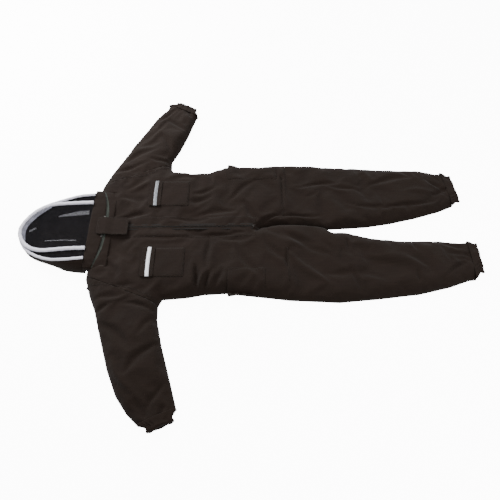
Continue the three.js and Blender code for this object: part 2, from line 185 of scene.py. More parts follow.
class Shader:
    """Builds one node material."""

    def __init__(self, name: str) -> None:
        """Starts an empty material with a Principled surface."""
        self.material = bpy.data.materials.new(name)
        self.material.use_nodes = True
        self.tree = self.material.node_tree
        self.surface = next(n for n in self.tree.nodes if n.type == "BSDF_PRINCIPLED")

    def node(self, kind: str, settings: dict | None = None, inputs: dict | None = None) -> bpy.types.Node:
        """Adds a node.

        Args:
            kind: the node's Blender type.
            settings: attributes set first; a ramp's stops go under "stops".
            inputs: socket name or number to a value, a socket or a Num.

        Returns:
            The node.
        """
        node = self.tree.nodes.new(kind)
        for key, value in (settings or {}).items():
            if key == "stops":
                ramp = node.color_ramp
                for element, (place, color) in zip(ramp.elements, value):
                    element.position = place
                    element.color = (*color, 1)
            else:
                setattr(node, key, value)
        for key, value in (inputs or {}).items():
            if isinstance(value, Num):
                value = value.socket
            if isinstance(value, bpy.types.NodeSocket):
                self.tree.links.new(value, node.inputs[key])
            else:
                node.inputs[key].default_value = value
        return node

    def place(self, scale: tuple[float, float, float] = (1, 1, 1)) -> bpy.types.NodeSocket:
        """Object coordinates, stretched by a scale for each axis."""
        source = self.node("ShaderNodeTexCoord").outputs["Object"]
        return self.node("ShaderNodeMapping", None, {"Vector": source, "Scale": scale}).outputs[0]

    def along(self, name: str) -> tuple[Num, Num]:
        """The two coordinates of a piece's own UV map."""
        uv = self.node("ShaderNodeUVMap", {"uv_map": name}).outputs[0]
        split = self.node("ShaderNodeSeparateXYZ", None, {0: uv})
        return Num(self, split.outputs[0]), Num(self, split.outputs[1])

    def noise(self, scale: float, detail: float = 3.0, rough: float = 0.5,
              stretch: tuple[float, float, float] = (1, 1, 1), warp: float = 0.0) -> Num:
        """Noise over Object coordinates, from 0 to 1."""
        inputs = {"Vector": self.place(stretch), "Scale": scale, "Detail": detail,
                  "Roughness": rough, "Distortion": warp}
        return Num(self, self.node("ShaderNodeTexNoise", None, inputs).outputs[0])

    def threads(self, pitch: float) -> tuple[Num, Num]:
        """Two crossed sine waves, one for each thread direction, from -1 to 1."""
        split = self.node("ShaderNodeSeparateXYZ", None, {0: self.place()})
        turn = 2 * math.pi / pitch
        lie = Num(self, split.outputs[1]) + Num(self, split.outputs[2])
        return (Num(self, split.outputs[0]) * turn).sine(), (lie * turn).sine()

    def blend(self, factor: Num, low: Sequence[float], high: Sequence[float]) -> bpy.types.NodeSocket:
        """A colour between two, by a factor."""
        stops = [(0.0, low), (1.0, high)]
        return self.node("ShaderNodeValToRGB", {"stops": stops}, {0: factor}).outputs[0]

    def bump(self, height: Num, strength: float, distance: float,
             under: bpy.types.NodeSocket | None = None) -> bpy.types.NodeSocket:
        """A bump from a height, over an earlier one where given."""
        inputs = {"Height": height, "Strength": strength, "Distance": distance}
        if under is not None:
            inputs["Normal"] = under
        return self.node("ShaderNodeBump", None, inputs).outputs[0]

    def finish(self, **inputs: object) -> bpy.types.Material:
        """Sets the surface's sockets, underscores standing for spaces, and returns the material."""
        for key, value in inputs.items():
            socket = self.surface.inputs[key.replace("_", " ").title().replace("Ior", "IOR")]
            value = value.socket if isinstance(value, Num) else value
            if isinstance(value, bpy.types.NodeSocket):
                self.tree.links.new(value, socket)
            else:
                socket.default_value = value
        return self.material


# ---------------------------------------------------------------- finishes


@dataclass(frozen=True)
class SuitCloth:
    """Plain-weave polycotton, dark coffee brown, with soft crumple and a little lint."""

    name: str = "suit_cloth"
    deep: tuple[float, float, float] = (0.0088, 0.0050, 0.0034)
    lit: tuple[float, float, float] = (0.0165, 0.0098, 0.0068)
    weave_pitch: float = 0.0011
    crumple: float = 0.55

    def build(self) -> bpy.types.Material:
        """Makes the material."""
        shader = Shader(self.name)
        warp, weft = shader.threads(self.weave_pitch)
        fade = shader.noise(9.0, 4.0, 0.6)
        slub = shader.noise(60.0, 2.0, 0.5, (0.25, 2.5, 1.0))
        lint = shader.noise(420.0, 2.0, 0.5).above(0.735)
        tone = fade * 0.55 + slub * 0.45
        color = shader.blend(tone * 1.5 - 0.25 + lint * 0.3, self.deep, self.lit)
        crease = shader.noise(26.0, 5.0, 0.62, (1.0, 1.0, 1.0), 0.6)
        drag = shader.noise(14.0, 3.0, 0.5, (0.35, 1.7, 1.0), 0.4)
        soft = shader.bump(crease * 0.6 + drag * 0.4, self.crumple, 0.006)
        woven = shader.bump(warp * weft, 0.22, 0.0002, soft)
        return shader.finish(base_color=color, roughness=0.84 + fade * 0.1, sheen_weight=0.05,
                             sheen_roughness=0.5, specular_ior_level=0.14, normal=woven)


@dataclass(frozen=True)
class FencingMesh:
    """Fine black netting: round holes in a grid of threads."""

    name: str = "black_mesh"
    pitch: float = 0.0021
    cover: float = 0.2

    def build(self) -> bpy.types.Material:
        """Makes the material."""
        shader = Shader(self.name)
        across, along = shader.threads(self.pitch)
        thread = across.most(along).above(self.cover)
        worn = shader.noise(30.0, 2.0)
        color = shader.blend(worn, (0.006, 0.006, 0.007), (0.016, 0.015, 0.017))
        bump = shader.bump(across.most(along), 0.4, 0.0003)
        return shader.finish(base_color=color, roughness=0.92, specular_ior_level=0.04,
                             alpha=thread * 0.97, normal=bump)


@dataclass(frozen=True)
class Binding:
    """White binding sewn over a hoop, puckered by its stitching."""

    name: str = "white_piping"
    shade: tuple[float, float, float] = (0.62, 0.60, 0.70)
    light: tuple[float, float, float] = (0.86, 0.85, 0.93)

    def build(self) -> bpy.types.Material:
        """Makes the material."""
        shader = Shader(self.name)
        run, _ = shader.along("UVMap")
        pucker = shader.noise(70.0, 3.0, 0.55, (1.0, 1.0, 0.5), 0.8)
        gathers = (run * 620.0 + pucker * 9.0).sine()
        # The colour follows the pucker height, darker in the hollows and lighter on the crests: painted shade and
        # painted light over the white binding.
        color = shader.blend(pucker * 1.3 - 0.1, self.shade, self.light)
        bump = shader.bump(gathers * 0.35 + pucker, 0.5, 0.0016)
        return shader.finish(base_color=color, roughness=0.55 + pucker * 0.2, sheen_weight=0.15, normal=bump)


@dataclass(frozen=True)
class Woven:
    """A narrow woven, knitted or pile trim, in two shades."""

    name: str
    deep: tuple[float, float, float]
    lit: tuple[float, float, float]
    pitch: float = 0.0014
    rough: float = 0.85
    relief: float = 0.5
    # How strongly the trim glows in its own colour: painted light, since no trim is a lamp; nought for most trims.
    glow: float = 0.0

    def build(self) -> bpy.types.Material:
        """Makes the material."""
        shader = Shader(self.name)
        warp, weft = shader.threads(self.pitch)
        # Random wear on every trim; on the gathered net, whose light end is painted sheen, this noise also places
        # that sheen.
        wear_and_sheen = shader.noise(38.0, 4.0, 0.6)
        ribs = warp * weft * 0.12
        color = shader.blend(wear_and_sheen + ribs, self.deep, self.lit)
        bump = shader.bump(warp * weft + wear_and_sheen, self.relief, 0.0004)
        return shader.finish(base_color=color, roughness=self.rough + wear_and_sheen * 0.08 - 0.04,
                             sheen_weight=0.05, specular_ior_level=0.2, normal=bump,
                             emission_color=color, emission_strength=self.glow)


@dataclass(frozen=True)
class Reflector:
    """Silver glass-bead tape: a fine honeycomb, scuffed along its length."""

    name: str
    dull: tuple[float, float, float]
    bright: tuple[float, float, float]

    def build(self) -> bpy.types.Material:
        """Makes the material."""
        shader = Shader(self.name)
        scuff = shader.noise(45.0, 4.0, 0.65, (1.0, 0.4, 1.0), 0.4)
        beads = shader.node("ShaderNodeTexVoronoi", None, {"Vector": shader.place(), "Scale": 900.0})
        cells = Num(shader, beads.outputs[0])
        color = shader.blend(scuff * 1.4 - 0.2, self.dull, self.bright)
        bump = shader.bump(cells * 0.3 + scuff, 0.35, 0.0006)
        return shader.finish(base_color=color, roughness=0.34 + scuff * 0.25, metallic=0.25, normal=bump)


@dataclass(frozen=True)
class Cast:
    """Moulded or cast fittings with rubbed edges."""

    name: str
    dark: tuple[float, float, float]
    rubbed: tuple[float, float, float]
    metal: float = 0.0

    def build(self) -> bpy.types.Material:
        """Makes the material."""
        shader = Shader(self.name)
        rub = shader.noise(120.0, 5.0, 0.65)
        scratch = shader.noise(500.0, 2.0, 0.5, (0.1, 1.0, 1.0))
        color = shader.blend(rub * 1.6 - 0.3, self.dark, self.rubbed)
        bump = shader.bump(scratch, 0.25, 0.0002)
        return shader.finish(base_color=color, roughness=0.34 + rub * 0.25, metallic=self.metal,
                             specular_ior_level=0.12 + 0.4 * self.metal, normal=bump)


class Slot(Enum):
    """The finishes, by their slot in the record; the value builds the material."""

    suit_cloth = SuitCloth()
    black_mesh = FencingMesh()
    white_piping = Binding()
    zip_tape = Woven("zip_tape", (0.018, 0.022, 0.018), (0.046, 0.054, 0.044))
    dark_trim = Woven("dark_trim", (0.006, 0.005, 0.005), (0.020, 0.017, 0.015), 0.0016, 0.92, 0.8)
    zip_chain = Cast("zip_chain", (0.003, 0.0025, 0.002), (0.010, 0.009, 0.008))
    zip_metal = Cast("zip_metal", (0.012, 0.011, 0.010), (0.075, 0.070, 0.066), 0.5)
    reflective_tape = Reflector("reflective_tape", (0.55, 0.56, 0.60), (0.92, 0.93, 0.95))
    elastic = Woven("elastic", (0.50, 0.49, 0.46), (0.72, 0.71, 0.68), 0.0022, 0.85, 0.9)
    # The inner tape is pale in its own right, and its glow is painted light on the tape seen through the netting.
    inner_tape = Woven("inner_tape", (0.62, 0.62, 0.68), (0.84, 0.84, 0.90), glow=0.35)


class Wardrobe:
    """Builds each finish once and gives it out."""

    def __init__(self) -> None:
        """Starts with nothing built."""
        self._built: dict[str, bpy.types.Material] = {}

    def get(self, finish: object) -> bpy.types.Material:
        """The material of a finish, built at its first use."""
        if finish.name not in self._built:
            self._built[finish.name] = finish.build()
        return self._built[finish.name]


WARDROBE = Wardrobe()
THREAD = Woven("thread", (0.010, 0.0075, 0.006), (0.024, 0.018, 0.015), 0.0008, 0.7, 0.4)
HIDDEN_TAPE = Woven("front_zip_tape", (0.006, 0.005, 0.004), (0.014, 0.011, 0.010))
# Black netting given a pale grey-blue light end: painted sheen on the gathers inside the crown.
RUCHED_NET = Woven("ruched_net", (0.012, 0.012, 0.016), (0.32, 0.32, 0.39), 0.0021, 0.8, 0.9)
WHITE_THREAD = Woven("white_thread", (0.40, 0.40, 0.42), (0.62, 0.62, 0.64), 0.0008, 0.6, 0.4)
SHADED_REFLECTOR = Reflector("reflective_tape_shaded", (0.10, 0.105, 0.115), (0.24, 0.25, 0.27))


# ---------------------------------------------------------------- mesh tools


def dress(piece: bpy.types.Object, slot: Slot, body: str | None, nodes: Iterable[str] = (),
          finish: object | None = None) -> bpy.types.Object:
    """Gives a piece its finish, its body and the nodes that it stands for.

    Args:
        piece: the object.
        slot: its slot in the record.
        body: the body that it rides on, or nothing where it bends between two.
        nodes: the CAD nodes that it replaces.
        finish: a finish other than the slot's own.

    Returns:
        The piece.
    """
    piece.data.materials.clear()
    piece.data.materials.append(WARDROBE.get(finish or slot.value))
    if body:
        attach(piece, body)
    for node in nodes:
        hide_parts(node)
    log.info("%s rides on %s", piece.name, body or "two bodies")
    return piece


def make_object(name: str, bm: bmesh.types.BMesh, smooth: bool = True) -> bpy.types.Object:
    """Turns a bmesh into an object at the origin and frees the bmesh."""
    mesh = bpy.data.meshes.new(name)
    if any(edge.is_boundary for edge in bm.edges) and sum(f.normal.z * f.calc_area() for f in bm.faces) < 0:
        bmesh.ops.reverse_faces(bm, faces=bm.faces)
    for face in bm.faces:
        face.smooth = smooth
    bm.to_mesh(mesh)
    bm.free()
    piece = bpy.data.objects.new(name, mesh)
    bpy.context.scene.collection.objects.link(piece)
    return piece


def mapped_grid(columns: int, rows: int, place: Callable[[float, float], Vector]) -> bmesh.types.BMesh:
    """A grid whose points are moved to where a function puts them, with a UV map from 0 to 1.

    Args:
        columns, rows: the number of cells each way.
        place: from u and v, each 0 to 1, to a point.

    Returns:
        The bmesh, its faces turned up where the map keeps u and v right-handed.
    """
    bm = bmesh.new()
    bmesh.ops.create_grid(bm, x_segments=columns, y_segments=rows, size=0.5, calc_uvs=True)
    uv = bm.loops.layers.uv.verify()
    for face in bm.faces:
        for loop in face.loops:
            loop[uv].uv = (loop.vert.co.x + 0.5, loop.vert.co.y + 0.5)
    for vert in bm.verts:
        vert.co = place(vert.co.x + 0.5, vert.co.y + 0.5)
    bm.normal_update()
    return bm


def close_seam(bm: bmesh.types.BMesh) -> None:
    """Joins the points that meet and turns all the faces outwards."""
    bmesh.ops.remove_doubles(bm, verts=bm.verts, dist=WELD)
    bmesh.ops.recalc_face_normals(bm, faces=bm.faces)


def join_points(piece: bpy.types.Object) -> None:
    """Joins the points of a piece that meet."""
    bm = bmesh.new()
    bm.from_mesh(piece.data)
    bmesh.ops.remove_doubles(bm, verts=bm.verts, dist=WELD)
    bm.to_mesh(piece.data)
    bm.free()


def thicken(piece: bpy.types.Object, thickness: float, offset: float = -1.0) -> None:
    """Gives a sheet its cloth thickness."""
    solid = piece.modifiers.new("thickness", "SOLIDIFY")
    solid.thickness = thickness
    solid.offset = offset
    solid.use_even_offset = False


def smoothed(piece: bpy.types.Object, levels: int = 1) -> None:
    """Rounds a piece by subdivision."""
    surface = piece.modifiers.new("round", "SUBSURF")
    surface.levels = levels
    surface.render_levels = levels
    surface.boundary_smooth = "PRESERVE_CORNERS"


def cut_from(piece: bpy.types.Object, length: float) -> None:
    """Works out how wide a sewn sheet's cut is from its cloth's area and the given length, and keeps nothing.

    Args:
        piece: the sheet; its own mesh is measured, without its modifiers.
        length: the cut's length, in metres.
    """
    area = sum(face.area for face in piece.data.polygons)
    sorted((area / length, length))


def stamped(name: str, template: bmesh.types.BMesh, places: Sequence[Matrix]) -> bpy.types.Object:
    """Repeats one small shape at many places, as one piece, and frees the shape.

    Args:
        name: the piece's name.
        template: the shape, about its own zero.
        places: where each copy goes and how it is turned and stretched.

    Returns:
        The piece.
    """
    points = np.array([vert.co for vert in template.verts])
    template.verts.index_update()
    faces = [[vert.index for vert in face.verts] for face in template.faces]
    template.free()
    moves = np.array([[list(row) for row in place] for place in places])
    copies = np.einsum("kij,nj->kni", moves[:, :3, :3], points) + moves[:, None, :3, 3]
    mesh = bpy.data.meshes.new(name)
    shifts = [copy * len(points) for copy in range(len(places))]
    rings = [[corner + shift for corner in face] for shift in shifts for face in faces]
    mesh.from_pydata(copies.reshape(-1, 3), [], rings)
    mesh.update()
    piece = bpy.data.objects.new(name, mesh)
    bpy.context.scene.collection.objects.link(piece)
    return piece


def tree_of(piece: bpy.types.Object) -> BVHTree:
    """A search tree of a piece's final surface."""
    graph = bpy.context.evaluated_depsgraph_get()
    return BVHTree.FromObject(piece, graph)


def tube(name: str, path: Callable[[float], Vector], radius: Callable[[float, float], float],
         steps: int, sides: int = 12) -> bpy.types.Object:
    """A closed tube along a path.

    Args:
        name: the piece's name.
        path: from 0..1 to a point of the centre line.
        radius: from the share along and the angle round to the radius.
        steps, sides: cells along and around.

    Returns:
        The object.
    """
    def place(u: float, v: float) -> Vector:
        """A point of the tube's skin."""
        here = path(u)
        ahead = path(min(u + 1e-3, 1.0)) - path(max(u - 1e-3, 0.0))
        side = ahead.normalized().cross(UP).normalized()
        up = side.cross(ahead.normalized())
        angle = 2 * math.pi * v
        return here + (side * math.cos(angle) + up * math.sin(angle)) * radius(u, angle)

    bm = mapped_grid(steps, sides, place)
    bmesh.ops.remove_doubles(bm, verts=bm.verts, dist=1e-6)
    bmesh.ops.holes_fill(bm, edges=[e for e in bm.edges if e.is_boundary], sides=sides)
    bmesh.ops.recalc_face_normals(bm, faces=bm.faces)
    return make_object(name, bm)


# ---------------------------------------------------------------- cloth


FOLD_DEPTH = 0.85
FOLD_SPREAD = 0.86


@dataclass(frozen=True)
class Fold:
    """One fold of the cloth, from one place to another, in millimetres from the suit's zero.

    A depth below nought is a furrow, and above nought a ridge.
    """

    start: Point
    end: Point
    width: float
    depth: float

    def height(self, points: np.ndarray) -> np.ndarray:
        """How far the fold lifts each point, in metres.

        Args:
            points: an array of X and Y in the frame.

        Returns:
            The lift of each point.
        """
        a = np.array(LAY.at(*self.start)[:2])
        b = np.array(LAY.at(*self.end)[:2])
        run = b - a
        length = np.linalg.norm(run)
        share = np.clip((points - a) @ run / length**2, 0, 1)
        wander = 0.35 * self.width * MM * np.sin(share * 5.0 + self.start[0])
        normal = np.array((-run[1], run[0])) / length
        gap = (points - a) @ normal - wander
        beyond = np.abs((points - a) @ run / length - share * length)
        spread = FOLD_SPREAD * self.width * MM * (0.35 + 0.55 * np.sin(np.pi * np.clip(share, 0.05, 0.95)))
        taper = np.sin(np.pi * np.clip(share * 0.9 + 0.05, 0, 1)) ** 0.6
        furrow = np.exp(-(gap / spread) ** 2 - (beyond / spread) ** 2)
        banks = np.exp(-(gap / spread / 2.1) ** 2 - (beyond / spread / 2) ** 2)
        return FOLD_DEPTH * self.depth * MM * taper * (1.6 * furrow - 0.4 * banks)


BODY_FOLDS = (
    # Waist, right side: the deep V at the notch and what runs out of it.
    Fold((-194, -312), (-222, -180), 13, -22), Fold((-190, -308), (-150, -205), 12, -18),
    Fold((-206, -300), (-178, -200), 12, 9), Fold((-168, -60), (-170, -205), 16, -8),
    Fold((-112, -200), (-136, -290), 15, -10), Fold((-250, -230), (-262, -120), 20, -6),
    # Chest, right.
    Fold((-585, -140), (-505, -265), 24, -8), Fold((-540, -120), (-470, -240), 22, 6),
    Fold((-366, -125), (-338, -190), 10, -7), Fold((-330, -195), (-270, -165), 10, -6),
    Fold((-560, -300), (-440, -260), 18, -6),
    # Chest and belly, left.
    Fold((-560, 40), (-415, 76), 12, -11), Fold((-530, 198), (-404, 240), 16, 7),
    Fold((-545, 150), (-400, 160), 20, -6), Fold((-300, 120), (-160, 156), 14, -10),
    Fold((-255, 172), (-150, 196), 12, -8), Fold((-360, 250), (-240, 270), 18, -6),
    Fold((-240, 60), (-60, 84), 16, -7), Fold((-330, 36), (-120, 44), 9, -8),
    # Beside the zip.
    Fold((-230, -46), (-20, -34), 10, -11), Fold((-470, -58), (-250, -50), 9, -5),
    Fold((-150, -70), (10, -60), 12, -6),
    # Crotch and thighs.
    Fold((10, 6), (130, 62), 12, -16), Fold((40, 0), (215, 24), 11, -14),
    Fold((120, 52), (300, 58), 12, -8), Fold((60, -24), (260, -86), 18, -9),
    Fold((120, -40), (330, -130), 20, -8), Fold((60, -60), (150, -190), 22, -8),
    Fold((-60, -90), (40, -250), 20, -6), Fold((144, -105), (146, -225), 7, -10),
    Fold((160, -130), (290, -265), 24, 6), Fold((-30, 120), (40, 40), 22, -9),
    Fold((-90, 150), (20, 235), 20, -6), Fold((136, 100), (144, 300), 6, -9),
    Fold((136, 248), (146, 262), 10, -8), Fold((200, 210), (390, 236), 12, -8),
    Fold((330, 222), (470, 188), 12, -7), Fold((240, 150), (300, 190), 12, -5),
    # Lower legs.
    Fold((400, -62), (396, -118), 8, -11), Fold((400, -190), (420, -300), 12, -7),
    Fold((300, -70), (345, -140), 12, -6), Fold((470, -130), (690, -190), 26, 6),
    Fold((655, -66), (672, -118), 10, -9), Fold((648, -205), (656, -262), 8, -11),
    Fold((730, -60), (880, -105), 12, -10), Fold((760, -230), (880, -150), 12, -9),
    Fold((790, -120), (890, -150), 9, -9), Fold((300, -210), (520, -240), 26, -5),
    Fold((560, 90), (800, 140), 12, -9), Fold((430, 110), (640, 100), 14, -5),
    Fold((520, 232), (700, 262), 20, -6), Fold((760, 250), (850, 190), 12, -10),
    Fold((770, 170), (860, 200), 10, -9), Fold((660, 180), (800, 190), 16, 5),
)
SLEEVE_FOLDS = (
    # Right sleeve.
    Fold((-590, -330), (-470, -300), 14, -8), Fold((-600, -380), (-520, -350), 12, -10),
    Fold((-362, -374), (-470, -340), 10, -12), Fold((-355, -400), (-420, -470), 13, -8),
    Fold((-560, -420), (-430, -520), 24, -6), Fold((-350, -500), (-440, -610), 22, -6),
    Fold((-500, -560), (-400, -700), 22, 6), Fold((-300, -640), (-360, -760), 12, -8),
    Fold((-400, -700), (-330, -790), 10, -9), Fold((-290, -700), (-310, -790), 8, -9),
    # Left sleeve.
    Fold((-600, 300), (-450, 350), 14, -8), Fold((-360, 356), (-450, 380), 10, -11),
    Fold((-560, 360), (-430, 440), 20, -7), Fold((-350, 420), (-420, 540), 16, -8),
    Fold((-500, 460), (-400, 560), 20, 6), Fold((-310, 560), (-390, 650), 12, -9),
    Fold((-430, 620), (-340, 720), 11, -10), Fold((-280, 640), (-310, 740), 9, -9),
    Fold((-440, 560), (-360, 700), 14, 6),
)


@dataclass(frozen=True)
class Relaxing:
    """How a panel is left to settle: cloth with a little more length than its outline allows."""

    frames: int = 16
    quality: int = 5
    spare: float = 0.035
    bending: float = 0.25
    stretch: float = 12.0
    mass: float = 0.15
    damping: float = 3.0
    most: float = 9 * MM

    def run(self, piece: bpy.types.Object, held: Sequence[int]) -> None:
        """Simulates the panel and keeps the result within the most that a point may move.

        Args:
            piece: the panel, a single sheet.
            held: the points that stay where they are.
        """
        start = np.array([v.co for v in piece.data.vertices])
        group = piece.vertex_groups.new(name="held")
        group.add([int(i) for i in held], 1.0, "REPLACE")
        cloth = piece.modifiers.new("relax", "CLOTH")
        setting = cloth.settings
        setting.quality = self.quality
        setting.mass = self.mass
        setting.tension_stiffness = self.stretch
        setting.compression_stiffness = self.stretch
        setting.shear_stiffness = self.stretch / 2
        setting.bending_stiffness = self.bending
        setting.air_damping = self.damping
        setting.vertex_group_mass = "held"
        setting.shrink_min = -self.spare
        setting.effector_weights.gravity = 0
        cloth.collision_settings.use_collision = False
        scene = bpy.context.scene
        cloth.point_cache.frame_start = 1
        cloth.point_cache.frame_end = self.frames
        for number in range(1, self.frames + 1):
            scene.frame_set(number)
        graph = bpy.context.evaluated_depsgraph_get()
        result = piece.evaluated_get(graph).to_mesh()
        end = np.array([v.co for v in result.vertices])
        piece.evaluated_get(graph).to_mesh_clear()
        piece.modifiers.remove(cloth)
        piece.vertex_groups.clear()
        scene.frame_set(1)
        move = end - start
        size = np.linalg.norm(move, axis=1, keepdims=True) + 1e-9
        kept = move / size * self.most * np.tanh(size / self.most)
        kept[~np.isfinite(kept)] = 0
        piece.data.vertices.foreach_set("co", (start + kept).astype(np.float32).ravel())
        piece.data.update()


@dataclass
class Outline:
    """The flat outline of a back panel, read from its node."""

    node: str
    step: float = 9.5 * MM
    snap: float = 0.9 * MM
    weld: float = 1.2 * MM

    def flat(self) -> bmesh.types.BMesh:
        """The panel's underside as one face, turned up."""
        bm = bmesh.new()
        bm.from_mesh(frame["nodes"][self.node].data)
        bmesh.ops.remove_doubles(bm, verts=bm.verts, dist=1e-6)
        bmesh.ops.recalc_face_normals(bm, faces=bm.faces)
        away = [f for f in bm.faces if f.normal.z > -0.9]
        bmesh.ops.delete(bm, geom=away, context="FACES")
        bmesh.ops.dissolve_limit(bm, angle_limit=math.radians(0.2), verts=[], edges=bm.edges)
        bmesh.ops.reverse_faces(bm, faces=bm.faces)
        return bm

    def segments(self) -> np.ndarray:
        """The edges of the outline, as pairs of points in plan."""
        bm = self.flat()
        edges = [[tuple(v.co.xy) for v in e.verts] for e in bm.edges if e.is_boundary]
        bm.free()
        return np.array(edges)

    def gridded(self) -> bmesh.types.BMesh:
        """The flat panel cut into even cells."""
        bm = self.flat()
        for axis in (0, 1):
            low = min(v.co[axis] for v in bm.verts)
            high = max(v.co[axis] for v in bm.verts)
            normal = Vector((1 - axis, axis, 0))
            for number in range(1, int((high - low) / self.step) + 1):
                geom = bm.verts[:] + bm.edges[:] + bm.faces[:]
                point = normal * (low + number * self.step)
                bmesh.ops.bisect_plane(bm, geom=geom, dist=self.snap, plane_co=point, plane_no=normal)
        bmesh.ops.remove_doubles(bm, verts=bm.verts, dist=self.weld)
        return bm


def gap_to(points: np.ndarray, segments: np.ndarray) -> np.ndarray:
    """The distance in plan from each point to the nearest of the segments."""
    a = segments[None, :, 0]
    run = segments[None, :, 1] - a
    to = points[:, None] - a
    share = np.clip((to * run).sum(2) / np.maximum((run**2).sum(2), 1e-12), 0, 1)
    return np.linalg.norm(to - share[..., None] * run, axis=2).min(1)


NECK_NODES = ("collar", "hood_zip_tape_lower", "hood_zip_tape_upper", "hood_neck_band")


@dataclass
class Loft:
    """How high the empty suit stands over the floor, from its edges inwards."""

    panels: Sequence[str]
    cuffs: Sequence[str]
    body: float = 41 * MM
    leg: float = 33 * MM
    cuff: float = 25 * MM
    roll: float = 58 * MM
    cuff_reach: float = 0.22
    pleat: float = 3.2 * MM
    clear: float = 1.2 * MM
    rim: np.ndarray = field(init=False)

    def __post_init__(self) -> None:
        """Finds the rim: the outline edges where the suit truly ends."""
        outlines = {name: Outline(name).segments() for name in self.panels}
        kept = []
        for name, segments in outlines.items():
            others = np.concatenate([s for other, s in outlines.items() if other != name])
            middle = segments.mean(axis=1)
            free = gap_to(middle, others) > self.clear
            for closed in (*self.cuffs, *NECK_NODES):
                low, high = (np.array(corner[:2]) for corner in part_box(closed))
                inside = ((middle > low - 3 * MM) & (middle < high + 3 * MM)).all(axis=1)
                free &= ~inside
            kept.append(segments[free])
        self.rim = np.concatenate(kept)

    def top(self, points: np.ndarray) -> np.ndarray:
        """The height of the upper cloth at each point in plan, without its folds."""
        blend = np.clip((points[:, 0] - LAY.at(20, 0).x) / 0.25, 0, 1)
        plateau = self.body + (self.leg - self.body) * blend * blend * (3 - 2 * blend)
        for cuff in self.cuffs:
            low, high = (np.array(corner[:2]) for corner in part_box(cuff))
            away = np.linalg.norm(points - (low + high) / 2, axis=1)
            near = np.clip(1 - (away - 0.04) / self.cuff_reach, 0, 1)
            plateau += (self.cuff - plateau) * near * near
            turn = np.arctan2(points[:, 1] - (low + high)[1] / 2, points[:, 0] - (low + high)[0] / 2)
            pleats = np.sin(turn * 21 + 2 * np.sin(turn * 5)) * np.clip(1.5 - away / 0.11, 0, 1) ** 2
            plateau += self.pleat * pleats
        inward = np.clip(gap_to(points, self.rim) / self.roll, 0, 1)
        return self.clear + plateau * (1 - (1 - inward) ** 2.4) ** 0.62


@dataclass
class Tuck:
    """Small moves in plan: the legs lie against each other, and the neck edge tucks under the collar."""

    reach: float = 90 * MM
    to: float = 350.0
    bend: float = 27 * MM
    gap: float = 1.5 * MM
    ease_out: float = 50 * MM
    neck: float = 13 * MM
    neck_back: float = 7 * MM
    neck_fall: float = 32 * MM
    neck_run: float = 30 * MM

    def __post_init__(self) -> None:
        """Reads the inner edges of the two legs."""
        self.stations = np.linspace(LAY.at(24, 0).x, LAY.at(self.to + 60, 0).x, 60)
        self.edges = {}
        for side in Side:
            segments = Outline(f"back_panel_{side.word}").segments()
            self.edges[side] = np.array([self._inner(segments, x, side) for x in self.stations])

    @staticmethod
    def _inner(segments: np.ndarray, x: float, side: Side) -> float:
        """The leg's edge nearest the other leg at a station."""
        a, b = segments[:, 0], segments[:, 1]
        crossing = (a[:, 0] - x) * (b[:, 0] - x) <= 0
        share = (x - a[crossing, 0]) / (b[crossing, 0] - a[crossing, 0] + 1e-12)
        y = a[crossing, 1] + share * (b[crossing, 1] - a[crossing, 1])
        return float(y.max() if side is Side.RIGHT else y.min())

    def move(self, plan: np.ndarray, side: Side) -> np.ndarray:
        """The points' new places in plan.

        Args:
            plan: their X and Y.
            side: which half of the suit they belong to.

        Returns:
            The moved X and Y.
        """
        moved = plan.copy()
        own, other = (np.interp(plan[:, 0], self.stations, self.edges[s]) for s in (side, Side(-side.value)))
        last = LAY.at(self.to, 0).x
        reached = np.clip((last - plan[:, 0]) / self.ease_out, 0, 1)
        along = eased(reached * (plan[:, 0] > self.stations[0]))
        inward = np.clip(1 - np.abs(own - plan[:, 1]) / self.reach, 0, 1) ** 2
        way = np.clip((plan[:, 0] - self.stations[0]) / (last - self.stations[0]), 0, 1)
        bend = self.bend * np.sin(np.pi * way**0.8) ** 0.8
        moved[:, 1] += ((other - own) / 2 - side.value * self.gap + bend) * along * inward
        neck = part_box("collar")[1]
        beyond = np.abs(plan[:, 1] - LAY.zero.y) - (neck.y - LAY.zero.y)
        away = np.clip(1 - beyond / self.neck_fall, 0, 1)
        above = np.clip((neck.x + self.neck_run - plan[:, 0]) / self.neck_run, 0, 1)
        beside = plan[:, 0] < neck.x - 1 * MM
        moved[:, 1] -= side.value * self.neck * away * beside
        moved[:, 0] -= self.neck_back * above * ~beside * (away >= 1)
        return moved


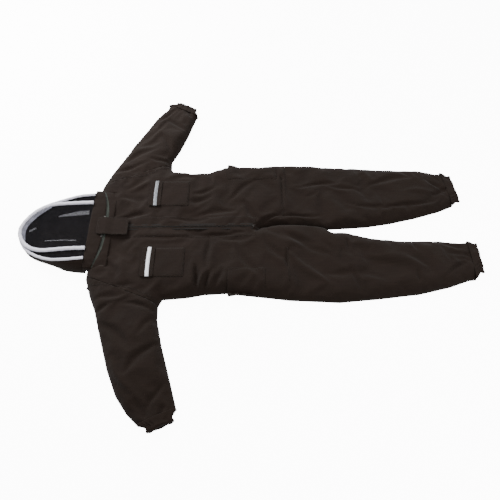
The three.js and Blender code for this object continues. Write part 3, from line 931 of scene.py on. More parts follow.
@dataclass
class ClothPanels:
    """All the cloth panels of the body, sleeves and legs."""

    loft: Loft
    thickness: float = 0.9 * MM
    clear: float = 1.2 * MM
    pocket_level: float = 46 * MM
    pocket_fall: float = 30 * MM
    tops: dict[str, bpy.types.Object] = field(default_factory=dict)
    tuck: Tuck = field(default_factory=Tuck)

    def _top(self, name: str, outline: Outline, folds: Sequence[Fold]) -> bpy.types.Object:
        """One upper panel, folded, relaxed and rounded."""
        piece = make_object(name, outline.gridded())
        co = np.zeros(len(piece.data.vertices) * 3, np.float32)
        piece.data.vertices.foreach_get("co", co)
        co = co.reshape(-1, 3).astype(float)
        plan = co[:, :2]
        edge = gap_to(plan, self.loft.rim)
        cover = np.clip(edge / (30 * MM), 0, 1)
        lift = sum(fold.height(plan) for fold in folds)
        height = self.loft.top(plan) + lift * (0.15 + 0.85 * cover)
        co[:, 2] = np.maximum(height, self.clear + 3 * MM * cover)
        side = Side.RIGHT if "right" in name else Side.LEFT
        co[:, :2] = self.tuck.move(plan, side)
        piece.data.vertices.foreach_set("co", co.astype(np.float32).ravel())
        Relaxing().run(piece, self._border(piece))
        self._under_fittings(piece)
        return piece

    @staticmethod
    def _border(piece: bpy.types.Object) -> list[int]:
        """The points on the edges that have one face only."""
        uses: dict[tuple[int, int], int] = {}
        for face in piece.data.polygons:
            for key in face.edge_keys:
                uses[key] = uses.get(key, 0) + 1
        return sorted({point for key, count in uses.items() if count == 1 for point in key})

    def _under_fittings(self, piece: bpy.types.Object) -> None:
        """Levels the cloth where the chest pockets lie on it."""
        pockets = [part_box(f"chest_pocket_{side.word}") for side in Side]
        for vert in piece.data.vertices:
            for low, high in pockets:
                out = max(low[0] - vert.co.x, vert.co.x - high[0], low[1] - vert.co.y, vert.co.y - high[1], 0)
                share = eased(max(0.0, 1 - out / self.pocket_fall)) * 0.9
                vert.co.z += (self.pocket_level - vert.co.z) * share

    def build(self) -> None:
        """Makes every upper and lower panel."""
        for side in Side:
            for front, back, body, folds in (
                ("front_panel", "back_panel", "suit", BODY_FOLDS),
                ("sleeve_front", "sleeve_back", f"sleeve_{side.word}", SLEEVE_FOLDS),
            ):
                outline = Outline(f"{back}_{side.word}")
                top = self._top(f"{front}_{side.word}_cloth", outline, folds)
                smoothed(top)
                thicken(top, self.thickness)
                under = self._under(f"{back}_{side.word}_cloth", outline)
                thicken(under, self.thickness, 1.0)
                flat = self._flat_size(outline)
                for piece, node in ((top, f"{front}_{side.word}"), (under, f"{back}_{side.word}")):
                    dress(piece, Slot.suit_cloth, body if body == "suit" else None, [node])
                    if body != "suit":
                        self._hinge(piece, side)
                self.tops[top.name] = top

    def _under(self, name: str, outline: Outline) -> bpy.types.Object:
        """One lower panel, lying on the floor with slight waves."""
        piece = make_object(name, outline.gridded())
        for vert in piece.data.vertices:
            wave = math.sin(vert.co.x * 37 + 2 * math.sin(vert.co.y * 21)) * math.sin(vert.co.y * 29)
            vert.co.z = 0.5 * MM + 0.7 * MM * max(0.0, wave)
        side = Side.RIGHT if "right" in name else Side.LEFT
        plan = np.array([vert.co[:2] for vert in piece.data.vertices])
        for vert, (x, y) in zip(piece.data.vertices, self.tuck.move(plan, side)):
            vert.co.x, vert.co.y = x, y
        for face in piece.data.polygons:
            face.flip()
        return piece

    @staticmethod
    def _flat_size(outline: Outline) -> tuple[float, float, float]:
        """Width, length and area of the flat cut."""
        bm = outline.flat()
        area = sum(face.calc_area() for face in bm.faces)
        low = [min(v.co[i] for v in bm.verts) for i in (0, 1)]
        high = [max(v.co[i] for v in bm.verts) for i in (0, 1)]
        bm.free()
        width, length = sorted(h - l for l, h in zip(low, high))
        return width, length, area

    @staticmethod
    def _hinge(piece: bpy.types.Object, side: Side) -> None:
        """Bakes a sleeve panel's placement into its mesh; the fold joint is read, but the panel is not bent."""
        joint = next(j for j in frame["joints"] if j["name"] == f"sleeve_{side.word}_fold")
        start = Vector(joint["pos_m"]) * Vector((1, 1, 0))
        line = Vector(joint["axis"]).normalized()
        out = line.cross(UP)
        out *= math.copysign(1, out.y * side.value)
        if side is Side.RIGHT:
            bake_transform(piece)
        else:
            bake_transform(piece)


# ---------------------------------------------------------------- draping and sewing


OVERHEAD = 0.3


@dataclass
class Ground:
    """What the fittings lie on: the highest surface below the open air at each place."""

    trees: list[BVHTree] = field(default_factory=list)

    def add(self, piece: bpy.types.Object) -> None:
        """Adds a finished piece to the ground."""
        self.trees.append(tree_of(piece))

    def height(self, place: Vector, fallback: float = 2 * MM) -> float:
        """The height of the ground at a place in plan."""
        start = Vector((place.x, place.y, OVERHEAD))
        hits = [tree.ray_cast(start, -UP)[0] for tree in self.trees]
        return max((hit.z for hit in hits if hit is not None), default=fallback)


@dataclass(frozen=True)
class Course:
    """A line in plan through given places, rounded between them."""

    places: tuple[Point, ...]
    straight: bool = False

    def _points(self) -> list[Vector]:
        """The places in the frame."""
        return [LAY.at(*p) for p in self.places]

    def length(self) -> float:
        """The length of the line, in metres."""
        points = self._points()
        return sum((b - a).length for a, b in zip(points, points[1:]))

    def point(self, u: float) -> Vector:
        """The point at a share of the way along."""
        points = self._points()
        runs = [(b - a).length for a, b in zip(points, points[1:])]
        rest = clamped(u) * sum(runs)
        for index, run in enumerate(runs):
            if rest <= run or index == len(runs) - 1:
                break
            rest -= run
        t = min(rest / max(run, 1e-9), 1)
        p1, p2 = points[index], points[index + 1]
        if self.straight:
            return p1.lerp(p2, t)
        p0 = points[index - 1] if index else p1 * 2 - p2
        p3 = points[index + 2] if index + 2 < len(points) else p2 * 2 - p1
        return 0.5 * (2 * p1 + (p2 - p0) * t + (2 * p0 - 5 * p1 + 4 * p2 - p3) * t * t
                      + (3 * p1 - p0 - 3 * p2 + p3) * t**3)

    def side(self, u: float) -> Vector:
        """The level direction across the line, to its left."""
        ahead = self.point(min(u + 0.01, 1)) - self.point(max(u - 0.01, 0))
        return Vector((-ahead.y, ahead.x, 0)).normalized()


@dataclass
class Sewing:
    """Felled seams and rows of stitches, laid on the ground."""

    ground: Ground
    stitch: float = 2.6 * MM
    gap: float = 1.1 * MM

    def ribbon(self, name: str, course: Course, width: float, lift: float = 0.9 * MM,
               body: str = "suit") -> bpy.types.Object:
        """A flat felled ridge of cloth along a line.

        Args:
            name: the piece's name.
            course: its middle line.
            width: across, in metres.
            lift: how far it stands over the cloth.
            body: what it rides on.

        Returns:
            The piece.
        """
        def place(u: float, v: float) -> Vector:
            """A point of the ridge."""
            spot = course.point(u) + course.side(u) * width * (v - 0.5)
            crown = math.sin(math.pi * v) ** 0.5 if 0 < v < 1 else 0.0
            pucker = 0.25 * math.sin(u * course.length() / (7 * MM) + 3 * v)
            spot.z = self.ground.height(spot) + lift * (crown * (1 + pucker) - 0.55)
            return spot

        bm = mapped_grid(max(4, int(course.length() / (7 * MM))), 6, place)
        piece = make_object(name, bm)
        thicken(piece, 0.5 * MM)
        return dress(piece, Slot.suit_cloth, body)

    def rows(self, name: str, courses: Sequence[tuple[Course, float]], body: str = "suit",
             height: Callable[[Vector], float] | None = None, finish: object = THREAD) -> bpy.types.Object:
        """Rows of stitches.

        Args:
            name: the piece's name.
            courses: each line with how far to its left the row runs.
            body: what they ride on.
            height: the height at a place; the ground's where not given.
            finish: the thread's finish.

        Returns:
            The piece.
        """
        look = height or self.ground.height
        places = []
        for course, shift in courses:
            count = int(course.length() / (self.stitch + self.gap))
            for number in range(count):
                u = (number + 0.5) / count
                side = course.side(u)
                spot = course.point(u) + side * shift
                ahead = Vector((side.y, -side.x, 0))
                half = ahead * self.stitch / 2
                low, high = look(spot - half), look(spot + half)
                slope = Vector((ahead.x, ahead.y, (high - low) / self.stitch)).normalized()
                up = side.cross(slope) * -1
                turn = Matrix((slope, side, up)).transposed().to_4x4()
                size = Matrix.Diagonal((self.stitch, 0.55 * MM, 0.4 * MM, 1))
                spot.z = (low + high) / 2 + 0.12 * MM
                places.append(Matrix.Translation(spot) @ turn @ size)
        bm = bmesh.new()
        bmesh.ops.create_cube(bm, size=1)
        piece = stamped(name, bm, places)
        return dress(piece, Slot.suit_cloth, body, finish=finish)


def corners(low: Point, high: Point, inset: float = 0.0, open_start: bool = False) -> Course:
    """A rectangle's outline as a course, in millimetres, left open towards the head if asked."""
    x0, y0, x1, y1 = low[0] + inset, low[1] + inset, high[0] - inset, high[1] - inset
    if open_start:
        return Course(((low[0], y0), (x1, y0), (x1, y1), (low[0], y1)), straight=True)
    return Course(((x0, y0), (x1, y0), (x1, y1), (x0, y1), (x0, y0)), straight=True)


def suit_mm(point: Vector) -> tuple[float, float, float]:
    """A point of the frame in millimetres from the suit's zero."""
    return tuple((point - LAY.zero) / MM)


def rounded_rectangle(u: float, v: float, low: Vector, high: Vector, radius: float, bow: float) -> Vector:
    """A point of a rectangle with rounded corners and slightly bowed edges."""
    x = low.x + (high.x - low.x) * u
    y = low.y + (high.y - low.y) * v
    middle = (low + high) / 2
    near_x = max(0.0, radius - min(x - low.x, high.x - x)) / radius
    near_y = max(0.0, radius - min(y - low.y, high.y - y)) / radius
    pull = near_x * near_y * radius * 0.29
    x += math.copysign(pull, middle.x - x) - bow * math.sin(math.pi * v) * (1 if u > 0.5 else 0) * (2 * u - 1)
    y += math.copysign(pull, middle.y - y) + bow * math.sin(math.pi * u) * (1 - 2 * v)
    return Vector((x, y, 0))


@dataclass
class PatchPocket:
    """A patch pocket sewn on at three sides, with its mouth towards the head."""

    node: str
    sewing: Sewing
    room: float
    level: float | None = None
    reach: float = 0.0
    corner: float = 0.0
    rim: float = 24 * MM

    def build(self) -> bpy.types.Object:
        """Makes the bag and its stitching."""
        low, high = (corner.copy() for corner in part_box(self.node))
        ground = self.sewing.ground
        outer = low if low.y < LAY.zero.y else high
        side = -1 if outer is low else 1
        outer.y += side * self.reach

        def place(u: float, v: float) -> Vector:
            """A point of the bag."""
            spot = rounded_rectangle(u, v, low, high, 9 * MM, 1.2 * MM)
            edge = min(high.x - spot.x, spot.y - low.y, high.y - spot.y)
            outwards = v if side > 0 else 1 - v
            tip = max(0.0, 1 - u / 0.3) * outwards**4
            rise = 1 - (1 - clamped(edge / self.rim)) ** 2
            under = ground.height(spot, 20 * MM)
            over = under + 0.9 * MM + (self.room - 0.9 * MM) * rise
            if self.level is not None:
                over += (min(self.level, over + 4 * MM) - over) * rise
            sag = (0.8 * math.sin(u * 7 + v * 4) + 0.7 * math.sin(u * 11 - v * 9)) * MM * rise
            spot.z = max(min(over + sag - 0.3 * MM, self.level or 1.0), under + 0.7 * MM)
            spot.y += side * self.corner * tip
            spot.z += self.corner * 0.8 * tip
            return spot

        piece = make_object(f"{self.node}_bag", mapped_grid(30, 26, place))
        smoothed(piece)
        thicken(piece, 0.7 * MM)
        dress(piece, Slot.suit_cloth, "suit", [self.node])
        ground.add(piece)
        a, b = suit_mm(low), suit_mm(high)
        self.sewing.rows(f"{self.node}_stitches", [
            (corners(a, b, 2.5, True), 0.0), (corners(a, b, 8.0, True), 0.0),
            (Course(((a[0] + 14, a[1] + 3), (a[0] + 14, b[1] - 3)), True), 0.0),
        ])
        return piece


HIP_REACH = {Side.RIGHT: 34 * MM, Side.LEFT: 4 * MM}
HIP_CORNER = {Side.RIGHT: 14 * MM, Side.LEFT: 12 * MM}
CHEST_ROOM = 5 * MM
HIP_ROOM = 3.2 * MM


@dataclass
class ChestFlap:
    """A pocket flap with its reflective strip; it turns about the edge nearest the head."""

    side: Side
    sewing: Sewing

    def build(self) -> None:
        """Makes the flap, the strip and their stitching."""
        body = f"chest_flap_{self.side.word}"
        low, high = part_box(body)
        level = low.z - 1.2 * MM

        def wave(spot: Vector) -> float:
            """The flap's own unevenness."""
            x, y, _ = suit_mm(spot)
            return 0.35 * MM * math.sin(y * 0.055 + 1.3) + 0.25 * MM * math.sin(y * 0.13 + x * 0.05)

        def flap(u: float, v: float) -> Vector:
            """A point of the flap."""
            spot = rounded_rectangle(u, v, low, high, 7 * MM, 0.8 * MM)
            spot.z = level + 0.5 * MM + wave(spot)
            return spot

        piece = make_object(f"{body}_cloth", mapped_grid(16, 34, flap))
        smoothed(piece)
        thicken(piece, 1.5 * MM)
        dress(piece, Slot.suit_cloth, body, [body])
        strip_low, strip_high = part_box(f"reflective_strip_{self.side.word}")

        def strip(u: float, v: float) -> Vector:
            """A point of the strip, bent a little in plan."""
            spot = strip_low.copy()
            spot.x += (strip_high.x - strip_low.x) * (0.24 + 0.74 * u) - 2.2 * MM * math.sin(math.pi * v)
            spot.y += (strip_high.y - strip_low.y) * v
            spot.z = level + 1.1 * MM + wave(spot) + 0.4 * MM * math.sin(math.pi * clamped(u))
            return spot

        tape = make_object(f"reflective_strip_{self.side.word}_tape", mapped_grid(6, 40, strip))
        thicken(tape, 0.5 * MM)
        look = SHADED_REFLECTOR if self.side is Side.LEFT else None
        dress(tape, Slot.reflective_tape, body, [f"reflective_strip_{self.side.word}"], look)
        a, b = suit_mm(low), suit_mm(high)
        s, e = suit_mm(strip_low), suit_mm(strip_high)
        top = level + 0.55 * MM
        self.sewing.rows(f"{body}_stitches", [(corners(a, b, 3.0), 0.0), (corners(a, b, 8.5), 0.0)], body,
                         lambda spot: top + wave(spot))
        middle = (s[1] + e[1]) / 2
        lines = [Course(((x, s[1]), (x - 2.2, middle), (x, e[1]))) for x in (s[0] + 6.2, e[0] - 1.8)]
        self.sewing.rows(f"{body}_strip_stitches", [(line, 0.0) for line in lines], body,
                         lambda spot: top + 0.75 * MM + wave(spot), WHITE_THREAD)


# ---------------------------------------------------------------- zips


def bevelled_block(bm: bmesh.types.BMesh, centre: Vector, size: Vector, bevel: float,
                   turn: Matrix | None = None) -> list[bmesh.types.BMVert]:
    """Adds a block with rounded edges.

    Args:
        bm: the mesh to add to.
        centre, size: the block's middle and its three lengths.
        bevel: the rounding.
        turn: how the block is turned.

    Returns:
        The block's points before rounding.
    """
    matrix = Matrix.Translation(centre) @ (turn or Matrix.Identity(3)).to_4x4() @ Matrix.Diagonal((*size, 1))
    verts = bmesh.ops.create_cube(bm, size=1, matrix=matrix)["verts"]
    edges = list({edge for vert in verts for edge in vert.link_edges})
    bmesh.ops.bevel(bm, geom=edges, offset=bevel, offset_type="OFFSET", segments=2, profile=0.5,
                    affect="EDGES", material=-1)
    return verts


@dataclass(frozen=True)
class SliderAndPull:
    """A zip slider with a bridge and a pull, running along a direction in plan."""

    slider: str
    pull: str
    body: str
    ahead: Vector

    def _measured(self, node: str) -> tuple[Vector, float, float, float]:
        """A node's middle, and its length along the zip, its width and its height."""
        low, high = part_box(node)
        size = high - low
        return (low + high) / 2, abs(size.dot(self.ahead)), abs(size.dot(UP.cross(self.ahead))), size.z

    def build(self) -> None:
        """Makes the two pieces."""
        turn = Matrix((self.ahead, UP.cross(self.ahead), UP)).transposed()
        self._slider(turn)
        self._pull(turn)

    def _slider(self, turn: Matrix) -> None:
        """The body of the slider: two plates, rails, posts and the bridge."""
        centre, long, wide, tall = self._measured(self.slider)
        bm = bmesh.new()
        plate = tall * 0.3
        base = Vector((centre.x, centre.y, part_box(self.slider)[0].z + plate / 2))
        bevelled_block(bm, base, Vector((long, wide * 0.8, plate)), 0.5 * MM, turn)
        bevelled_block(bm, base + self.ahead * long * 0.22, Vector((long * 0.5, wide, plate)), 0.6 * MM, turn)
        for share in (-1, 1):
            rail = turn @ Vector((0, share * wide * 0.36, plate * 0.7))
            bevelled_block(bm, base + rail, Vector((long * 0.7, wide * 0.12, plate * 0.9)), 0.25 * MM, turn)
        for share in (-0.28, 0.28):
            post = base + self.ahead * long * share + Vector((0, 0, tall * 0.32))
            bevelled_block(bm, post, Vector((long * 0.1, wide * 0.22, tall * 0.5)), 0.3 * MM, turn)
        bridge = base + Vector((0, 0, tall * 0.62))
        bevelled_block(bm, bridge, Vector((long * 0.66, wide * 0.26, tall * 0.16)), 0.25 * MM, turn)
        dress(make_object(f"{self.slider}_metal", bm, smooth=False), Slot.zip_metal, self.body, [self.slider])

    def _pull(self, turn: Matrix) -> None:
        """The pull: two arms, an eye and a ribbed grip."""
        middle, long, wide, tall = self._measured(self.pull)
        bm = bmesh.new()
        thick = tall * 0.5
        for share in (-1, 1):
            arm = turn @ Vector((-long * 0.3, share * wide * 0.38, 0))
            bevelled_block(bm, middle + arm, Vector((long * 0.42, wide * 0.16, thick)), 0.2 * MM, turn)
        eye = turn @ Vector((-long * 0.47, 0, 0))
        bevelled_block(bm, middle + eye, Vector((long * 0.06, wide * 0.7, thick)), 0.2 * MM, turn)
        grip = turn @ Vector((long * 0.19, 0, 0))
        bevelled_block(bm, middle + grip, Vector((long * 0.6, wide, thick)), 0.5 * MM, turn)
        for step in range(4):
            rib = turn @ Vector((long * (0.08 + 0.08 * step), 0, thick * 0.55))
            bevelled_block(bm, middle + rib, Vector((long * 0.02, wide * 0.7, thick * 0.3)), 0.1 * MM, turn)
        dress(make_object(f"{self.pull}_metal", bm, smooth=False), Slot.zip_metal, self.body, [self.pull])


@dataclass
class FrontZip:
    """The front zip with the fly that hides it."""

    sewing: Sewing
    slit: float = 1.9
    fly: float = 50.0
    rounding: float = 15.0
    pitch: float = 2.4 * MM

    def build(self) -> None:
        """Makes tapes, teeth, slider, stop and the two sides of the fly."""
        for side in Side:
            self._tape(side)
            self._teeth(side)
            self._fly(side)
        SliderAndPull("front_zip_slider", "front_zip_pull", "front_zip_slider", Vector((1, 0, 0))).build()
        bm = bmesh.new()
        low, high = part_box("front_zip_stop")
        bevelled_block(bm, (low + high) / 2, high - low, 0.6 * MM)
        for share in (-0.25, 0.25):
            groove = (low + high) / 2 + Vector(((high.x - low.x) * share, 0, (high.z - low.z) / 2))
            bevelled_block(bm, groove, Vector((0.8 * MM, (high.y - low.y) * 0.8, 0.5 * MM)), 0.15 * MM)
        stop = make_object("front_zip_stop_metal", bm, smooth=False)
        dress(stop, Slot.zip_metal, "suit", ["front_zip_stop"])

    def _tape(self, side: Side) -> None:
        """One side's woven tape."""
        node = f"front_zip_tape_{side.word}"
        low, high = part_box(node)

        def place(u: float, v: float) -> Vector:
            """A point of the tape."""
            y = low.y + (high.y - low.y) * v
            z = high.z - 0.3 * MM + 0.15 * MM * math.sin(v * 25)
            return Vector((low.x + (high.x - low.x) * u, y, z))

        piece = make_object(f"{node}_woven", mapped_grid(60, 8, place))
        thicken(piece, 0.5 * MM)
        dress(piece, Slot.zip_tape, "suit", [node], HIDDEN_TAPE)

    def _teeth(self, side: Side) -> None:
        """One side's coil of teeth."""
        node = f"front_zip_chain_{side.word}"
        low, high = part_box(node)
        middle = (low + high) / 2
        shift = 0 if side is Side.RIGHT else self.pitch / 4
        first = low.x + self.pitch / 2
        places = [
            Matrix.Translation((first + number * self.pitch + shift, middle.y, high.z - 1.6 * MM))
            for number in range(int((high.x - low.x) / self.pitch))
        ]
        bm = bmesh.new()
        bevelled_block(bm, Vector(), Vector((1.5 * MM, high.y - low.y, 2.1 * MM)), 0.35 * MM)
        dress(stamped(f"{node}_teeth", bm, places), Slot.zip_chain, "suit", [node])

    def _fly(self, side: Side) -> None:
        """One side of the fly, from the slit to its stitching."""
        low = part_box(f"front_zip_tape_{side.word}")[0]
        ground = self.sewing.ground
        end = LAY.at(24, 0).x

        def place(u: float, v: float) -> Vector:
            """A point of the fly."""
            out = self.slit + (self.fly - self.slit) * v + 1.2 * math.sin(u * 19 + side.value) * v * (1 - v)
            x = low.x + (end - low.x) * u
            spot = LAY.at(suit_mm(Vector((x, 0, 0)))[0], side.value * out)
            over = ground.height(spot, 42 * MM)
            near = eased(max(0.0, 1 - (out - self.slit) / self.rounding))
            lift = 1.0 * MM * (1 - v**6) + 0.2 * MM
            spot.z = max(over + lift, over + (45.4 * MM - over) * near)
            spot.z = min(spot.z, 45.8 * MM if out < 16 else spot.z)
            return spot

        piece = make_object(f"fly_{side.word}", mapped_grid(110, 14, place))
        smoothed(piece)
        thicken(piece, 0.8 * MM)
        dress(piece, Slot.suit_cloth, "suit")
        (self.fly - self.slit) * MM
        ground.add(piece)
        line = Course(tuple((x, side.value * (self.fly - 3)) for x in (-568, -300, -100, 20)))
        self.sewing.rows(f"fly_{side.word}_stitches", [(line, 0.0), (line, side.value * -5 * MM)])


# ---------------------------------------------------------------- hood and neck

# Where the hood's cloth starts at the neck, and the middle of the hood, in millimetres.
NECK_SEAM = -655
HOOD_MIDDLE = (-780, 0)
# How high the neck stands at the hood's end and at the body's end, in millimetres.
HOOD_TOP = 59.0
BODY_TOP = 43.5
# Width and length of the cut, and the share of that rectangle that the rounded outline fills.
# Just short of a half, so that the two halves of an arch don't share a point.
HALF_WAY = 0.4999


@dataclass(frozen=True)
class Arch:
    """A line from the right side of the neck, round the crown and back, through listed places."""

    places: tuple[Point, ...]
    neck_height: float
    crown_height: float
    draw_out: float = 1.03

    @functools.cached_property
    def line(self) -> Course:
        """The line in plan, drawn out a little towards the crown."""
        return Course(tuple((NECK_SEAM + (x - NECK_SEAM) * self.draw_out, y) for x, y in self.places))

    def point(self, u: float) -> Vector:
        """The point at a share of the way, from the right side of the neck to the left."""
        spot = self.line.point(u)
        lean = math.sin(math.pi * u) ** 1.5
        spot.z = (self.neck_height + (self.crown_height - self.neck_height) * lean) * MM
        return spot


HEM = Arch(((-655, -193), (-690, -190), (-736, -181), (-775, -163), (-812, -149), (-853, -133),
            (-886, -114), (-912, -86), (-931, -50), (-941, -4), (-936, 40), (-918, 84), (-888, 118),
            (-850, 140), (-808, 152), (-770, 164), (-736, 180), (-690, 190), (-655, 193)), 1.6, 1.6)
REAR = Arch(((-655, -158), (-720, -159), (-785, -155), (-830, -142), (-868, -122), (-897, -98),
             (-918, -68), (-934, -34), (-938, 0), (-934, 30), (-918, 66), (-889, 98), (-853, 118),
             (-816, 130), (-775, 140), (-712, 154), (-655, 158)), 61.0, 30.0)
FRONT = Arch(((-655, -112), (-760, -113), (-825, -113), (-870, -102), (-903, -79), (-924, -48), (-933, -18),
              (-932, 8), (-920, 38), (-898, 69), (-866, 95), (-825, 113), (-780, 117), (-720, 115),
              (-655, 113)), 62.0, 43.0)


@dataclass
class Hood:
    """The zip-on hood: cloth sides and back, netting at the front and sides, two hoops."""

    sewing: Sewing

    def build(self) -> None:
        """Makes every piece of the hood."""
        self._cloth()
        self._netting()
        self._pipings()
        self._inside()

    def _cloth(self) -> None:
        """The cloth from the floor up to the rear hoop, and the back that lies on the floor."""
        def side(u: float, v: float) -> Vector:
            """A point of the side cloth."""
            foot, top = HEM.point(u), REAR.point(u)
            out = math.sin(math.pi * v)
            spot = foot.lerp(top, v**1.5)
            spot.z = 1.6 * MM + (top.z - 3.5 * MM) * math.sin(v * math.pi / 2) ** 0.85
            centre = LAY.at(*HOOD_MIDDLE)
            away = Vector((spot.x - centre.x, spot.y - centre.y, 0)).normalized()
            slump = 2.4 * math.sin(u * 23 + 1.7 * math.sin(u * 9)) + 1.3 * math.sin(u * 61 + v * 4)
            gathers = 0.9 * math.sin(u * 330) * v**3 * (1 if 0.15 < u < 0.85 else 0.3)
            fold = 2.0 * math.sin(v * 9 + u * 12) * out
            spot += away * (slump * out + gathers) * MM
            spot.z += (fold * 0.6 + slump * 0.4 * out) * MM
            return spot

        piece = make_object("hood_side_cloth", mapped_grid(150, 16, side))
        smoothed(piece)
        thicken(piece, 0.8 * MM, 1.0)
        dress(piece, Slot.suit_cloth, "hood", ["hood_fabric"])
        cut_from(piece, HEM.line.length())

        def back(u: float, v: float) -> Vector:
            """A point of the back, between the two halves of the hem."""
            spot = HEM.point(u * HALF_WAY).lerp(HEM.point(1 - u * HALF_WAY), v)
            spot.z = 1.4 * MM + 0.8 * MM * (1 + math.sin(u * 17 + v * 11) * math.sin(v * 14)) / 2
            return spot

        under = make_object("hood_back_cloth", mapped_grid(40, 40, back))
        join_points(under)
        thicken(under, 0.8 * MM)
        dress(under, Slot.suit_cloth, "hood")

    def _netting(self) -> None:
        """The window and the two side veils."""
        def window(u: float, v: float) -> Vector:
            """A point of the window."""
            spot = FRONT.point(u * HALF_WAY).lerp(FRONT.point(1 - u * HALF_WAY), v)
            inner = math.sin(math.pi * v) ** 0.7 * (1 - u**4)
            sag = -7.0 * inner * (0.4 + 0.6 * math.sin(math.pi * min(u * 1.1, 1)))
            ripple = 1.0 * math.sin(u * 9 + v * 5) * inner
            ruche = 0.8 * math.sin(v * 150 + 6 * u) * max(0.0, u - 0.75) * 4 * (1 - abs(2 * v - 1))
            spot.z += (sag + ripple + ruche) * MM
            return spot

        piece = make_object("veil_window_net", mapped_grid(56, 60, window))
        join_points(piece)
        smoothed(piece)
        dress(piece, Slot.black_mesh, "hood", ["veil_window"])
        for hand in Side:
            def veil(u: float, v: float) -> Vector:
                """A point of a side veil."""
                share = u * 0.5 if hand is Side.RIGHT else 1 - u * 0.5
                spot = REAR.point(share).lerp(FRONT.point(share), v)
                dip = -3.5 * math.sin(math.pi * v) * (1 - 0.5 * u)
                ruche = 0.9 * math.sin(u * 150 + 3 * v) * (0.25 + u)
                spot.z += (dip + ruche * math.sin(math.pi * v)) * MM
                return spot

            piece = make_object(f"side_veil_{hand.word}_net", mapped_grid(90, 12, veil))
            smoothed(piece)
            dress(piece, Slot.black_mesh, "hood", [f"side_veil_{hand.word}"])
            cut_from(piece, FRONT.line.length() / 2)

    def _pipings(self) -> None:
        """The two bound hoops."""
        hoops = (("front_hoop_piping", FRONT, 8.2, 0.0), ("rear_hoop_piping", REAR, 6.2, 2.0))
        for name, arch, size, seed in hoops:
            def path(u: float, arch: Arch = arch, seed: float = seed) -> Vector:
                """The hoop's middle line."""
                spot = arch.point(u)
                spot.z += 1.2 * MM + 0.7 * MM * math.sin(u * 14 + seed)
                spot.y += 0.8 * MM * math.sin(u * 21 + seed)
                return spot

            def radius(u: float, angle: float, size: float = size) -> float:
                """The binding's radius, flatter than round, with gathers."""
                gathers = 0.05 * math.sin(u * 420 + 1.5 * math.sin(u * 47)) + 0.04 * math.sin(u * 133 + angle)
                flat = 1 - 0.22 * abs(math.sin(angle))
                return size * MM * (flat + gathers)

            piece = tube(f"{name}_binding", path, radius, 330, 16)
            dress(piece, Slot.white_piping, "hood", [name])

    def _inside(self) -> None:
        """The tape, a seam and a blank tab inside the hood, seen through the netting."""
        tape = Course(((-816, 87), (-750, 100), (-688, 108)))
        seam = Course(((-850, -38), (-790, -34), (-720, -36)))
        tab = Course(((-925, 12), (-900, 28)), True)
        strips = (
            ("hood_inner_tape_strip", tape, 22 * MM, ["hood_inner_tape"]),
            ("hood_inner_seam", seam, 3 * MM, []),
            ("hood_crown_tab", tab, 9 * MM, []),
        )
        for name, course, width, nodes in strips:
            def place(u: float, v: float) -> Vector:
                """A point of a strip."""
                taper = 0.25 + 0.75 * min(u * 1.6, 1.0) if nodes else 1.0
                spot = course.point(u) + course.side(u) * width * taper * (v - 0.5)
                spot.z = (4.2 if nodes else 3.8) * MM + 0.4 * MM * math.sin(u * 12)
                return spot

            piece = make_object(name, mapped_grid(24, 4, place))
            thicken(piece, 0.8 * MM)
            # The inner tape finish glows: painted light on these strips as they show through the netting.
            dress(piece, Slot.inner_tape, "hood", nodes)

        def ruche(u: float, v: float) -> Vector:
            """A point of the gathered net inside the crown."""
            share = 0.40 + 0.34 * u
            rim = FRONT.point(share)
            inward = LAY.at(*HOOD_MIDDLE) - rim
            inward.z = 0
            width = (7 + 17 * math.sin(math.pi * u) ** 0.6) * MM
            spot = rim + inward.normalized() * (4 * MM + width * v)
            spot.z += (4.0 - 2.5 * v + 1.1 * math.sin(u * 170 + 3 * v) + 0.8 * math.sin(u * 71 + v * 9)) * MM
            return spot

        piece = make_object("hood_crown_ruche", mapped_grid(140, 8, ruche))
        # Its finish paints the black netting pale: painted sheen on the gathers.
        dress(piece, Slot.black_mesh, "hood", finish=RUCHED_NET)


@dataclass(frozen=True)
class NeckRing:
    """One band of the flattened tube that joins the hood to the suit.

    The band's two edges are each given at the middle of the front and at the sides, in millimetres.
    """

    node: str
    slot: Slot
    body: str
    start: Point
    end: Point
    lift: float
    half: float = 192.0

    def point(self, u: float, v: float) -> Vector:
        """A point of the band: u goes round from the left side over the front, v towards the feet."""
        angle = 2 * math.pi * u
        c, s = math.cos(angle), math.sin(angle)
        half = self.half + self.lift
        y = signed_power(c, 0.5) * half
        side = abs(y / half) ** 2.8
        start = self.start[0] + (self.start[1] - self.start[0]) * side
        end = self.end[0] + (self.end[1] - self.end[0]) * side
        x = start + (end - start) * v
        fall = clamped((x - NECK_SEAM) / 85)
        top = HOOD_TOP + (BODY_TOP - HOOD_TOP) * fall
        rise = (1 + signed_power(s, 0.55)) / 2
        wrinkle = 0.7 * math.sin(u * 55 + v * 3) + 0.4 * math.sin(u * 140 + v)
        puff = self.lift * (1 - (2 * v - 1) ** 2)
        z = 1.2 + (top - 1.2) * rise + (wrinkle * 0.8 + puff) * (1 if s > 0 else 0)
        return LAY.at(x, y, max(z, 0.9))

    def build(self) -> bpy.types.Object:
        """Makes the band."""
        bm = mapped_grid(180, 10, self.point)
        close_seam(bm)
        piece = make_object(f"{self.node}_band", bm)
        thicken(piece, 0.9 * MM)
        dress(piece, self.slot, self.body, [self.node])
        if self.slot is Slot.suit_cloth:
            cut_from(piece, 4.2 * self.half * MM)
        return piece


